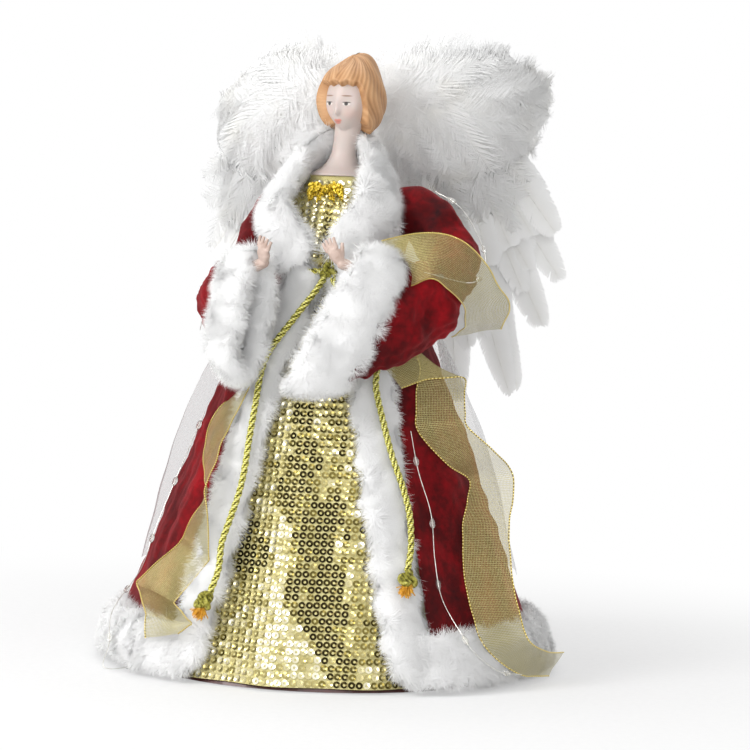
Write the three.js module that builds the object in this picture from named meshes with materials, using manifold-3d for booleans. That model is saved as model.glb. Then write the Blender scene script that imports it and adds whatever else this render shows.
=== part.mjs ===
// Angel tree topper: a dressed, winged figure on a hollow cone that slips over the tip of a tree.
// Millimetres, +Z up, the figure faces -Y, and its own left hand is towards +X.
// The origin is the middle of the cone's open base.
import * as THREE from 'three';
import { mergeVertices } from 'three/addons/utils/BufferGeometryUtils.js';
import Module from 'manifold-3d';

const wasm = await Module();
wasm.setup();

// Fits
const GAP = 0.4;
const PIN_GAP = 0.3;

// Facets
const CONE_SIDES = 48;
const TORSO_SIDES = 24;
const NECK_SIDES = 16;
const BALL_SIDES = 10;
const BALL_ROWS = 8;
const FUR_SIDES = 10;

// Cone that carries everything
const CONE_BOTTOM_R = 95;
const CONE_TOP_R = 27;
const CONE_H = 200;
const CONE_WALL = 1.8;
const WIRE_NOTCH_W = 4;
const WIRE_NOTCH_H = 3.4;
const WIRE_NOTCH_ANGLE = -46;

// Torso form on the cone
const TORSO_H = 34;
const TORSO_PLUG = 12;
const CHEST_RX = 30;
const CHEST_RY = 22;
const SHOULDER_RX = 27;
const SHOULDER_RY = 17;
const TORSO_TOP_RX = 14;
const TORSO_TOP_RY = 12;
const CUP_R = 4;
const SHOULDER_DROP = 11;

// Porcelain head
const BUST_PIN_R = 5;
const BUST_PIN_L = 12;
const PLATE_R = 15;
const PLATE_T = 2;
const NECK_R = 6;
const NECK_H = 27;
const HEAD_RX = 11.5;
const HEAD_RY = 13;
const HEAD_RZ = 15.5;
const CHIN_OVERLAP = 5;
const HEAD_TURN = -10;
const HEAD_LEAN = 4.5;
const JAW_TAPER = 0.3;
const JAW_FROM = 0.1;
const NECK_SWELL = 1.15;
// Neck from the plate up: share of its height, and share of the way out to the plate's edge
const NECK_LINE = [[0, 1], [0.2, 0.25], [0.5, 0]];

// Hair
const HAIR_T = 4.6;
const LOCK_DEPTH = 0.7;
const LOCKS = 12;
const LOCK_SWEEP = 3;
const BUN_R = 8;
const BUN_FLAT = 0.8;
const BUN_BACK = 0.3;
const BUN_RISE = 1;
// Hairline on a head of unit size: height in front, drop at the temples and at the nape, and where each drop
// starts and ends round the head, in radians from the front
const HAIRLINE = 0.42;
const TEMPLE_DROP = 0.5;
const TEMPLES = [0.55, 1];
const NAPE_DROP = 0.55;
const NAPE = [1.2, 2];
const HAIR_EDGE = 0.12;

// Face relief on a head of unit size: where each form lies, how wide it is and how far it stands out
const FACE = [
  { at: [0, -1, -0.3], width: 0.13, out: 2.3 },
  { at: [0.36, -0.9, -0.12], width: 0.16, out: -1.1 },
  { at: [-0.36, -0.9, -0.12], width: 0.16, out: -1.1 },
  { at: [0, -0.8, -0.62], width: 0.13, out: 0.7 },
  { at: [0, -0.65, -0.85], width: 0.2, out: 0.9 },
  { at: [0.55, -0.75, -0.3], width: 0.25, out: 0.6 },
  { at: [-0.55, -0.75, -0.3], width: 0.25, out: 0.6 },
];

// Cloth
const DRESS_T = 1;
const DRESS_FLUTE = 3;
const DRESS_FLUTES = 13;
const DRESS_HEM = 6;
const BODICE_DROP = 5;
const ROBE_EASE = 2.5;
const ROBE_T = 1.4;
const ROBE_FOLD = 3.5;
const ROBE_FOLDS = 9;
const FOLD_MEAN = 0.5;
const FOLD_SWING = 0.37;
const FOLD_MINOR = 0.35;
const ROBE_TOP_DROP = 9;
const OPEN_RIGHT_HEM = 21;
const OPEN_RIGHT_WAIST = 11;
const OPEN_LEFT_HEM = 33;
const OPEN_LEFT_WAIST = 20;
const VEIL_T = 0.8;
const VEIL_EASE = 6;
const VEIL_WAVE = 2.5;
const VEIL_WAVES = 8;
const VEIL_DROP = 13;
const VEIL_BOTTOM = 46;
const VEIL_RIGHT = 82;
const VEIL_LEFT = 96;

// Plush trim
const FUR_W = 21;
const FUR_T = 9;
const HEM_FUR_H = 27;
const HEM_FUR_T = 14;
const HEM_CLEAR = 2.6;
const HEM_BLEND = [3, 12];
const COLLAR_W = 24;
const COLLAR_T = 9;
const COLLAR_LIFT = 4.6;
const COLLAR_RISE = 15;
const COLLAR_SIDE_RISE = 7;
const COLLAR_TILT = 7;
const COLLAR_END = 0.55;
const COLLAR_TIP = 0.12;
const COLLAR_NECK_EASE = 2;
// Ends of the collar: angle from the front in degrees, height above the cone and share of the full lift
const COLLAR_RIGHT = [[-14, -2.6, 0.1], [-21, 3, 0.3], [-31, 11, 0.7], [-48, 21.5, 1]];
const COLLAR_LEFT = [[22, -2.6, 0.1], [28, 3, 0.3], [36, 11.5, 0.7], [50, 22.5, 1]];
const BAND_CLEAR = 1.3;
const CUFF_T = 5;
const CUFF_PUFF = 2.2;
const CUFF_EDGE = 0.15;

// Gold cord
const CORD_D = 3.2;
const BELT_DROP = 9;
const BELT_KNOT_R = 4.4;
const BELT_KNOT_ANGLE = 8;
const TAIL_KNOT_R = 3.8;
const TAIL_END_R = 2;
const TAIL_END_L = 5;

// Cord tails: angle from the front in degrees and height of each point, lying on the plush bands
const TAIL_RIGHT = [[1, 181], [-9, 168], [-18, 154], [-20, 143], [-19, 129], [-18, 113], [-17, 99], [-17, 88],
  [-18, 77], [-19, 65], [-18, 53], [-19, 42]];
const TAIL_LEFT = [[17, 181], [26, 168], [34, 151], [33, 138], [35, 122], [37, 108], [40, 92], [41, 80],
  [40, 66], [38, 56]];

// Gold bow at the neckline
const BOW_W = 19;
const BOW_H = 11;
const BOW_T = 3;
const BOW_BEVEL = 0.5;
// Right half of its outline from the middle of the top, as shares of its width and height
const BOW_HALF = [[0, 0.14], [0.14, 0.46], [0.3, 0.62], [0.44, 0.5], [0.5, 0.15], [0.36, -0.1], [0.15, -0.1],
  [0.3, -0.6], [0.14, -0.6], [0, -0.3]];

// Ribbon: a loop over the left sleeve, placed along its rows and turned round it, and two hanging tails
const RIBBON_W = 24;
const RIBBON_T = 0.6;
const RIBBON_LOOP = { from: 4.8, to: 1.8, upper: [14, 66], lower: [58, 118] };
const RIBBON_LEFT = { angle: [64, 84], height: [142, 14], lift: -0.4, sway: 5, turn: 38, turns: 1.5 };
const RIBBON_RIGHT = { angle: [-37, -50], height: [136, 22], lift: 1, sway: -5, turn: 42, turns: 1.5 };

// Arms
const SLEEVE_T = 1.3;
const ARM_WIRE_D = 2;
const ARM_BALL_R = 3.2;
const FOREARM_R = 3.6;
const WRIST_R = 2.7;
const FOREARM_L = 24;
const WIRE_BORE_L = 9;
const PALM_L = 5.4;
const PALM_W = 3.9;
const PALM_T = 2.2;
const FINGER_R = 1.05;
const FINGER_L = 5.2;
const FINGER_CURL = 1.3;
const FINGER_TAPER = 0.03;
const FINGER_SPREAD = 0.75;
const FINGER_SHORTER = 0.5;
const FINGERS = [0, 1 / 3, 2 / 3, 1];
const LONGEST_FINGER = 0.45;
const PALM_MIDDLE = 0.9;
const KNUCKLE = 1.45;
// Finger's joint and tip: shares of its spread, its curl and its length, each from the point before
const FINGER_JOINT = [0.12, 0.45, 0.55];
const FINGER_TIP = [0.08, 1, 0.5];
// Thumb's root and tip as shares of the palm's width, thickness and length, and of a finger's radius
const THUMB_ROOT = { at: [-0.6, -0.3, 0.6], r: 1.2 };
const THUMB_TIP = { at: [-1.35, -1.2, 1.55], r: 0.9 };
const FOREARM_SETBACK = 1.2;
const WIRE_DIP = 2;
const WIRE_ROOT = 0.1;
const WIRE_TURN = [1.6, 0.4];
const ARM_HOLE_EASE = 3.5;
const ARM_HOLE_FROM = 0.6;
const ARM_HOLE_REACH = 12;

// Sleeves: each row gives the top and the bottom of the sleeve, from the shoulder pivot, and half its depth.
// The first number of a point is outwards from the body on either arm.
const SLEEVE_LEFT = [
  { top: [13, 0, 10], bottom: [8, 0, -16], depth: 12 },
  { top: [29, -2, 1], bottom: [16, -3, -30], depth: 14 },
  { top: [38, -10, -12], bottom: [24, -12, -48], depth: 15 },
  { top: [35, -30, -20], bottom: [31, -36, -63], depth: 12 },
  { top: [28, -46, -23], bottom: [16, -63, -75], depth: 11 },
  { top: [20, -56, -24], bottom: [-2, -73, -83], depth: 11 },
];
const OPENING_LEFT = { top: [1, -66, -19], bottom: [-29, -81, -86], depth: 11 };
const SLEEVE_RIGHT = [
  { top: [12.4, 0, 4], bottom: [8.4, 0, -17.5], depth: 11 },
  { top: [19, -3, -9], bottom: [15, -4, -33], depth: 11 },
  { top: [24, -12, -25], bottom: [18, -16, -54], depth: 12 },
  { top: [29, -28, -34], bottom: [16, -40, -71], depth: 10 },
  { top: [21, -44, -30], bottom: [7.5, -57, -80], depth: 11 },
  { top: [12.5, -53, -26], bottom: [3.5, -67, -84.5], depth: 11.5 },
];
const OPENING_RIGHT = { top: [-3, -62, -20], bottom: [-13.5, -79, -82], depth: 12 };

// Hands: the way each points from its wrist, its turn about that line in degrees, and the wrist's way out
const HAND_LEFT = { points: [-0.55, -0.3, 0.8], twist: 160, out: 1.5 };
const HAND_RIGHT = { points: [0.1, -0.55, 0.85], twist: 150, out: 2 };

// Wings
const WING_SWEEP = 33;
const HINGE_X = 9;
const HINGE_WIRE_D = 1.8;
const HINGE_TUBE_WALL = 1;
const HINGE_L = 22;
const HINGE_RISE = 4;
const HINGE_STANDOFF = 4.5;
const STAPLE_DEPTH = 9;
const CARD_T = 1.2;
const CARD_REACH = 74;
const CARD_TOP = 62;
const FEATHERS = 6;
const FEATHER_L = 134;
const FEATHER_W = 24;
const FEATHER_T = 1;
const FEATHER_PITCH = 1.5;
const FEATHER_BEND = 6;
const FEATHER_STEPS = 8;
const FEATHER_SHORTEN = 0.63;
const FEATHER_EVEN = 0.15;
const VANE_START = 0.06;
const VANE_SPAN = 0.9;
const VANE_LEAN = 0.75;
const VANE_ROUND = 0.7;
const BARE_QUILL = [0.08, 0.3];
const VANE_CAMBER = 0.05;
const VANE_EDGE = 0.4;
const SHAFT_EDGE = 0.6;
const SHAFT_D = 1.8;
const COVERTS = 4;
const COVERT_L = 62;
const COVERT_W = 26;
const COVERT_BEND = 4;
const COVERT_STEP = 0.35;
const COVERT_STEPS = 5;
const DOWN_RX = 45;
const DOWN_RZ = 27;
const DOWN_T = 9;
const DOWN_DROP = 46;
const DOWN_INSET = 3;
const DOWN_BUMPS = 9;
const DOWN_BUMP = 2.4;
const DOWN_RISE = 1.1;
// Card from the hinge out along its lower edge and back: control points and corners, as shares of its size
const CARD_EDGE = [[[0.5, 0.3], [0.95, 0.75]], [[1.05, 1.25], [0.7, 1.3]]];
const CARD_BACK = [0.25, 1.3];
const CARD_ROOT = 0.8;

// Where the first and the last feather of a row start on the card, and their lean outwards in degrees
const FAN_IN = { x: 34, z: 46, lean: 13 };
const FAN_OUT = { x: 60, z: 56, lean: 44 };
const COVERT_IN = { x: 20, z: 40, lean: 8 };
const COVERT_OUT = { x: 62, z: 58, lean: 40 };

// Lights
const LIGHT_D = 1.1;
const LED_D = 2.8;
const LED_PITCH = 30;
const INSIDE_RUN = 175;
const INSIDE_CLEAR = 2;
const BACK_RISE = 14;
const LONG_RUN_STEPS = 60;
const SIDE_RUN_STEPS = 32;
const SHORT_RUN_STEPS = 18;
// Light wire inside the cone: angle on from the box and back from the notch in degrees, with heights
const INSIDE_FROM_BOX = [24, 30];
const INSIDE_TO_NOTCH = [-12, 10];
const NOTCH_RUN = [-10, -2, 6];

// Light routes on the robe: angle from the front in degrees and height
const LIGHT_RIGHT = [[-50, 12], [-56, 26], [-64, 44], [-69, 62], [-71, 90], [-69, 120]];
const LIGHT_LEFT = [[50, 118], [50, 100], [52, 80], [50, 60], [50, 42], [51, 26], [54, 18], [60, 10],
  [68, 7]];
const LIGHT_BACK = [100, 120, 140, 160, 180, 200, 220, 240, 260];

// Light routes on the sleeves: place along the rows and turn from the top in degrees
const LIGHT_LEFT_SLEEVE = [[0.2, 40], [0.9, 30], [1.5, 40], [2.2, 55], [3, 70], [4.4, 45]];
const RIGHT_WIRE_SINK = 0.6;
const LIGHT_RIGHT_SLEEVE = [[0.2, 50], [0.9, 60], [1.6, 75], [2.2, 90], [2.9, 110]];

// Battery box
const BOX_L = 48;
const BOX_W = 28;
const BOX_T = 9.4;
const BOX_WALL = 1.4;
const BOX_Z = 62;
const BOX_ANGLE = -115;
const CELL_R = 10;
const CELL_T = 3.2;
const COVER_T = 1.4;
const COVER_L = 27;
const SWITCH_L = 5;
const SWITCH_W = 3;
const SWITCH_H = 2;
const SWITCH_TRAVEL = 2.5;
const COVER_SLANT = 0.4;
const CELL_EDGE = 0.6;
const WIRE_EXIT_RISE = 6;
const PAD_T = 2;
const PAD_L = 34;
const PAD_W = 20;

// Rows and columns of the lofted pieces
const TORSO_ROWS = 5;
const SKIRT_ROWS = 3;
const ROBE_ROWS = 4;
const YOKE_ROWS = 2;
const BAND_ROWS = 9;
const HEM_COLUMNS = 32;
const COLLAR_STEPS = 20;
const VEIL_ROWS = 4;
const LOOP_STEPS = 10;
const RIBBON_STEPS = 18;
const TAIL_STEPS = 22;
const SLEEVE_STEPS = 8;
const SLEEVE_SIDES = 16;
const CUFF_STEPS = 4;

// Levels that follow from the sizes
const TORSO_TOP = CONE_H + TORSO_H;
const WAIST_Z = CONE_H - BELT_DROP;
const SHOULDER_Z = TORSO_TOP - SHOULDER_DROP;
const ROBE_TOP = TORSO_TOP - ROBE_TOP_DROP;
const HAND_DROP = CUFF_T + FOREARM_R + FOREARM_SETBACK;
const HEAD_Z = TORSO_TOP + PLATE_T + NECK_H + HEAD_RZ - CHIN_OVERLAP;
const VEIL_TOP = WAIST_Z - VEIL_DROP;

const V = (x, y, z) => new THREE.Vector3(x, y, z);
const rad = THREE.MathUtils.degToRad;
const mix = THREE.MathUtils.lerp;
const smooth = THREE.MathUtils.smoothstep;
const steps = (count) => Array.from({ length: count + 1 }, (_, i) => i / count);

// A point on the figure: angle from the front towards its left hand, distance from the axis, height.
function polar(angle, radius, z) {
  return V(radius * Math.sin(angle), -radius * Math.cos(angle), z);
}

// Closed solid through a row of polygons with equal numbers of points.
function loft(sections, closed = false) {
  const around = sections[0].length;
  const rows = sections.length;
  const index = [];
  for (let i = 0; i < (closed ? rows : rows - 1); i++) {
    const next = (i + 1) % rows;
    for (let j = 0; j < around; j++) {
      const k = (j + 1) % around;
      index.push(i * around + j, i * around + k, next * around + k);
      index.push(i * around + j, next * around + k, next * around + j);
    }
  }
  if (!closed) {
    const last = (rows - 1) * around;
    for (let j = 0; j < around / 2 - 1; j++) {
      const quad = [j, j + 1, around - 2 - j, around - 1 - j];
      index.push(quad[1], quad[0], quad[3], quad[1], quad[3], quad[2]);
      index.push(last + quad[0], last + quad[1], last + quad[3]);
      index.push(last + quad[3], last + quad[1], last + quad[2]);
    }
  }
  const geometry = new THREE.BufferGeometry().setFromPoints(sections.flat());
  geometry.setIndex(index);
  return outward(geometry);
}

// Drops triangles that a merged point has made empty, and turns the faces to the outside.
function outward(geometry) {
  geometry.deleteAttribute('normal');
  geometry.deleteAttribute('uv');
  const merged = mergeVertices(geometry, 1e-4);
  const points = merged.getAttribute('position');
  const corner = (i) => new THREE.Vector3().fromBufferAttribute(points, i);
  const kept = [];
  let volume = 0;
  const index = merged.getIndex().array;
  for (let i = 0; i < index.length; i += 3) {
    const [a, b, c] = [index[i], index[i + 1], index[i + 2]];
    if (a === b || b === c || c === a) continue;
    kept.push([a, b, c]);
    volume += corner(a).dot(corner(b).cross(corner(c)));
  }
  merged.setIndex(kept.flatMap(([a, b, c]) => (volume > 0 ? [a, b, c] : [a, c, b])));
  return merged;
}

function toSolid(geometry) {
  const closed = outward(geometry);
  const vertProperties = new Float32Array(closed.getAttribute('position').array);
  const triVerts = new Uint32Array(closed.getIndex().array);
  return new wasm.Manifold(new wasm.Mesh({ numProp: 3, vertProperties, triVerts }));
}

function toGeometry(solid) {
  const mesh = solid.getMesh();
  const geometry = new THREE.BufferGeometry();
  geometry.setAttribute('position', new THREE.BufferAttribute(mesh.vertProperties, 3));
  geometry.setIndex(new THREE.BufferAttribute(mesh.triVerts, 1));
  return geometry;
}

function join(...geometries) {
  return toGeometry(geometries.map(toSolid).reduce((a, b) => a.add(b)));
}

function cut(geometry, ...tools) {
  return toGeometry(tools.map(toSolid).reduce((a, b) => a.subtract(b), toSolid(geometry)));
}

// Places a shape that was made along +Z so that it starts at one point and runs towards another.
function along(geometry, from, to, twist = 0) {
  const turn = new THREE.Quaternion().setFromUnitVectors(V(0, 0, 1), to.clone().sub(from).normalize());
  return geometry.rotateZ(twist).applyQuaternion(turn).translate(from.x, from.y, from.z);
}

// Cylinder that starts at one point and ends at another.
function rod(from, to, r1, r2 = r1, sides = 8) {
  const length = from.distanceTo(to);
  const shape = new THREE.CylinderGeometry(r2, r1, length, sides);
  shape.rotateX(Math.PI / 2).translate(0, 0, length / 2);
  return along(shape, from, to);
}

// Round tube along a smooth line through points; its radius can change along the way.
function tube(points, diameter, count, sides = 8, swell = () => 1) {
  const line = new THREE.CatmullRomCurve3(points, false, 'centripetal');
  const frames = line.computeFrenetFrames(count, false);
  const sections = steps(count).map((t, i) => {
    const centre = line.getPointAt(t);
    const radius = (diameter / 2) * swell(t * line.getLength());
    return Array.from({ length: sides }, (_, j) => {
      const a = (2 * Math.PI * j) / sides;
      return centre.clone()
        .addScaledVector(frames.normals[i], radius * Math.cos(a))
        .addScaledVector(frames.binormals[i], radius * Math.sin(a));
    });
  });
  return loft(sections);
}

// Cone and the layers of clothing over it, as distances from the axis
const coneR = (z) => mix(CONE_BOTTOM_R, CONE_TOP_R, z / CONE_H);
const fade = (z) => Math.max(0, 1 - z / CONE_H);
const fluteR = (angle, z) => DRESS_FLUTE * fade(z) * (0.5 + 0.5 * Math.cos(DRESS_FLUTES * angle));
const dressMax = (z) => coneR(z) + GAP + DRESS_T + DRESS_FLUTE * fade(z);
const furIn = (z) => dressMax(z) + GAP + ROBE_EASE * fade(z);
const furOut = (z) => furIn(z) + FUR_T;
const foldWave = (angle) => Math.cos(ROBE_FOLDS * angle) + FOLD_MINOR * Math.sin(2 * ROBE_FOLDS * angle + 1);
const robeFold = (angle, z) => ROBE_FOLD * fade(z) * (FOLD_MEAN + FOLD_SWING * foldWave(angle));
const robeMax = (z) => furIn(z) + ROBE_T + ROBE_FOLD * fade(z);

// Torso: half widths to the side and to the front at a height above the cone
const torsoLine = (base, chest, shoulder, top) => new THREE.SplineCurve([
  new THREE.Vector2(0, base),
  new THREE.Vector2(0.35, chest),
  new THREE.Vector2(0.7, shoulder),
  new THREE.Vector2(1, top),
]);
const torsoSide = torsoLine(CONE_TOP_R, CHEST_RX, SHOULDER_RX, TORSO_TOP_RX);
const torsoFront = torsoLine(CONE_TOP_R, CHEST_RY, SHOULDER_RY, TORSO_TOP_RY);
const torsoShare = (z) => THREE.MathUtils.clamp((z - CONE_H) / TORSO_H, 0, 1);
const torsoRx = (z) => torsoSide.getPoint(torsoShare(z)).y;
const torsoRy = (z) => torsoFront.getPoint(torsoShare(z)).y;
function torsoR(angle, z) {
  return 1 / Math.hypot(Math.sin(angle) / torsoRx(z), Math.cos(angle) / torsoRy(z));
}

const root = new THREE.Group();

function add(name, geometry, finish) {
  const material = new THREE.MeshStandardMaterial(finish);
  const mesh = new THREE.Mesh(geometry, material);
  mesh.name = name;
  root.add(mesh);
  return mesh;
}

const MAROON = { color: 0x3a1512, roughness: 0.45 };
const SKIN = { color: 0xe3c9bd, roughness: 0.35 };
const HAIR = { color: 0xd7a069, roughness: 0.5 };
const GOLD = { color: 0xd0a638, roughness: 0.35, metalness: 0.6 };
const CORD_GOLD = { color: 0xa98f36, roughness: 0.5, metalness: 0.4 };
const RED = { color: 0x9c0a14, roughness: 0.85 };
const WHITE = { color: 0xf1f0ee, roughness: 0.95 };
const SHEER = { color: 0xe6e4e0, roughness: 0.6 };
const STEEL = { color: 0x9a9c9e, roughness: 0.35, metalness: 0.9 };
const CARD = { color: 0xe8e4da, roughness: 0.9 };
const CLEAR = { color: 0xd9d6d0, roughness: 0.3 };
const BLACK = { color: 0x222224, roughness: 0.5 };

// Cone, with a notch in its rim where the light wire leaves
const wireNotch = new THREE.BoxGeometry(WIRE_NOTCH_W, 4 * CONE_WALL, 2 * WIRE_NOTCH_H);
wireNotch.rotateZ(rad(WIRE_NOTCH_ANGLE));
wireNotch.translate(...polar(rad(WIRE_NOTCH_ANGLE), CONE_BOTTOM_R - CONE_WALL / 2, 0).toArray());
const coneProfile = [
  new THREE.Vector2(CONE_BOTTOM_R - CONE_WALL, 0),
  new THREE.Vector2(CONE_BOTTOM_R, 0),
  new THREE.Vector2(CONE_TOP_R, CONE_H),
  new THREE.Vector2(CONE_TOP_R - CONE_WALL, CONE_H),
  new THREE.Vector2(CONE_BOTTOM_R - CONE_WALL, 0),
];
const cone = new THREE.LatheGeometry(coneProfile, CONE_SIDES).rotateX(Math.PI / 2);
add('base_cone', cut(cone, wireNotch), MAROON);

// Torso: a plug that sits in the cone, the chest, two shoulder cups and a socket for the head
const roundAngles = (count) => Array.from({ length: count }, (_, i) => (2 * Math.PI * i) / count);
const torsoHeights = steps(TORSO_ROWS).map((t) => mix(CONE_H + PIN_GAP, TORSO_TOP, t));
const plugR = CONE_TOP_R - CONE_WALL - GAP;
const torsoRing = (z, radius) => roundAngles(TORSO_SIDES).map((a) => polar(a, radius(a, z), z));
const torsoRings = [
  ...[CONE_H - TORSO_PLUG, CONE_H + PIN_GAP].map((z) => torsoRing(z, () => plugR)),
  ...torsoHeights.map((z) => torsoRing(z, torsoR)),
];
const pivot = (side) => V(side * torsoRx(SHOULDER_Z), 0, SHOULDER_Z);
function ballAt(radius, at) {
  return new THREE.SphereGeometry(radius, BALL_SIDES, BALL_ROWS).translate(at.x, at.y, at.z);
}
const shoulderCup = (side) => ballAt(CUP_R, pivot(side));
const headSocket = rod(V(0, 0, TORSO_TOP - BUST_PIN_L - PIN_GAP), V(0, 0, TORSO_TOP + 1),
  BUST_PIN_R + PIN_GAP, BUST_PIN_R + PIN_GAP, NECK_SIDES);

// Wires that carry the wings: a staple on each side of the back
const hingeLow = SHOULDER_Z - HINGE_L + HINGE_RISE;
const staplePitch = HINGE_L + 2 * PIN_GAP + HINGE_WIRE_D;
const prongLow = hingeLow - PIN_GAP - HINGE_WIRE_D / 2;
const prongZ = [prongLow, prongLow + staplePitch];
const backY = Math.max(...prongZ.map((z) => torsoRy(z)));
const hingeY = backY + DRESS_T + ROBE_EASE + ROBE_T + HINGE_STANDOFF;
const prongEnd = (z) => torsoRy(z) - STAPLE_DEPTH;
const prongHole = (side, z) => rod(
  V(side * HINGE_X, prongEnd(z) - PIN_GAP, z),
  V(side * HINGE_X, hingeY, z),
  HINGE_WIRE_D / 2 + PIN_GAP,
);
const prongHoles = [1, -1].flatMap((side) => prongZ.map((z) => prongHole(side, z)));
const torsoCuts = [shoulderCup(1), shoulderCup(-1), headSocket, ...prongHoles];
add('torso_form', cut(loft(torsoRings), ...torsoCuts), CARD);

function stapleWire(side) {
  const x = side * HINGE_X;
  const bar = rod(V(x, hingeY, prongZ[0] - HINGE_WIRE_D / 2), V(x, hingeY, prongZ[1] + HINGE_WIRE_D / 2),
    HINGE_WIRE_D / 2);
  return join(bar, ...prongZ.map((z) => rod(V(x, prongEnd(z), z), V(x, hingeY, z), HINGE_WIRE_D / 2)));
}
add('wing_wire_left', stapleWire(1), STEEL);
add('wing_wire_right', stapleWire(-1), STEEL);

// Head, neck and shoulder plate in one casting
function relief(d) {
  const bumps = FACE.map(({ at, width, out }) => {
    const away = d.distanceTo(V(...at).normalize()) / width;
    return out * Math.exp(-(away ** 2) / 2);
  });
  return bumps.reduce((sum, out) => sum + out);
}
function skull(grow) {
  const ball = new THREE.SphereGeometry(1, 20, 14).rotateX(Math.PI / 2);
  const points = ball.getAttribute('position');
  for (let i = 0; i < points.count; i++) {
    const d = new THREE.Vector3().fromBufferAttribute(points, i);
    const jaw = 1 - JAW_TAPER * smooth(-d.z, JAW_FROM, 1);
    const out = relief(d);
    const size = V(HEAD_RX * jaw + grow + out, HEAD_RY + grow + out, HEAD_RZ + grow + out);
    points.setXYZ(i, d.x * size.x, d.y * size.y, d.z * size.z);
  }
  return ball.rotateZ(rad(HEAD_TURN)).translate(HEAD_LEAN, 0, HEAD_Z);
}
function neck(grow) {
  const foot = TORSO_TOP + PIN_GAP;
  const top = HEAD_Z - HEAD_RZ / 2;
  const flare = NECK_LINE.map(([height, out]) => {
    return new THREE.Vector2(mix(NECK_R, PLATE_R, out) + grow, foot + PLATE_T + NECK_H * height);
  });
  const underChin = new THREE.Vector2(NECK_R * NECK_SWELL + grow, top);
  const profile = new THREE.SplineCurve([...flare, underChin]).getPoints(6);
  const outline = [
    new THREE.Vector2(0, foot - BUST_PIN_L),
    new THREE.Vector2(BUST_PIN_R, foot - BUST_PIN_L),
    new THREE.Vector2(BUST_PIN_R, foot),
    new THREE.Vector2(PLATE_R + grow, foot),
    ...profile,
    new THREE.Vector2(0, top),
  ];
  const turned = new THREE.LatheGeometry(outline, NECK_SIDES).rotateX(Math.PI / 2);
  const points = turned.getAttribute('position');
  for (let i = 0; i < points.count; i++) {
    points.setX(i, points.getX(i) + HEAD_LEAN * smooth(points.getZ(i), foot + PLATE_T, HEAD_Z));
  }
  return turned;
}
add('porcelain_head', join(neck(0), skull(0)), SKIN);

// Hair: a moulded cap with locks, a fringe and a bun, hollowed over the head
function hairCap(grow) {
  const ball = new THREE.SphereGeometry(1, 30, 10).rotateX(Math.PI / 2);
  const points = ball.getAttribute('position');
  for (let i = 0; i < points.count; i++) {
    const d = new THREE.Vector3().fromBufferAttribute(points, i);
    const around = Math.atan2(d.x, -d.y);
    const turn = Math.abs(around);
    const drop = TEMPLE_DROP * smooth(turn, ...TEMPLES) + NAPE_DROP * smooth(turn, ...NAPE);
    const covered = smooth(d.z + drop, HAIRLINE - HAIR_EDGE, HAIRLINE + HAIR_EDGE);
    const lock = LOCK_DEPTH * Math.cos(LOCKS * around + LOCK_SWEEP * d.z);
    const thick = mix(-HAIR_T, HAIR_T + lock, covered);
    const size = V(HEAD_RX + thick + grow, HEAD_RY + thick + grow, HEAD_RZ + thick / 2 + grow);
    points.setXYZ(i, d.x * size.x, d.y * size.y, d.z * size.z);
  }
  return ball.rotateZ(rad(HEAD_TURN)).translate(HEAD_LEAN, 0, HEAD_Z);
}
const bun = new THREE.SphereGeometry(BUN_R, 12, 8).scale(1, 1, BUN_FLAT);
bun.translate(0, HEAD_RY * BUN_BACK, HEAD_Z + HEAD_RZ + BUN_RISE);
bun.rotateZ(rad(HEAD_TURN)).translate(HEAD_LEAN, 0, 0);
add('hair', cut(join(hairCap(0), bun), skull(PIN_GAP), neck(PIN_GAP)), HAIR);

// Cloth wall swept round the figure: inner and outer distance at each angle and height
function clothWall(angles, heights, inner, thickness, closed) {
  const sections = angles.map((at) => {
    const edge = heights.map((z) => [typeof at === 'function' ? at(z) : at, z]);
    const out = edge.map(([a, z]) => polar(a, inner(a, z) + thickness, z));
    const back = edge.map(([a, z]) => polar(a, inner(a, z), z)).reverse();
    return [...out, ...back];
  });
  return loft(sections, closed);
}

// Dress: fluted sequin skirt on the cone and a bodice on the torso
const skirtHeights = steps(SKIRT_ROWS).map((t) => mix(DRESS_HEM, WAIST_Z, t));
const skirtIn = (angle, z) => coneR(z) + GAP + fluteR(angle, z);
const skirt = clothWall(roundAngles(DRESS_FLUTES * 4), skirtHeights, skirtIn, DRESS_T, true);
add('dress_skirt', skirt, GOLD);

const bodiceHeights = torsoHeights.filter((z) => z < TORSO_TOP - BODICE_DROP / 2);
const bodiceIn = (angle, z) => torsoR(angle, z) + 2 * GAP;
const bodice = clothWall(roundAngles(TORSO_SIDES), bodiceHeights, bodiceIn, DRESS_T, true);
const armHole = (side) => rod(
  pivot(side).setX(side * torsoRx(SHOULDER_Z) * ARM_HOLE_FROM),
  pivot(side).setX(side * (torsoRx(SHOULDER_Z) + ARM_HOLE_REACH)),
  ARM_BALL_R + ARM_HOLE_EASE,
);
add('dress_bodice', cut(bodice, armHole(1), armHole(-1), ...prongHoles), GOLD);

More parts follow.
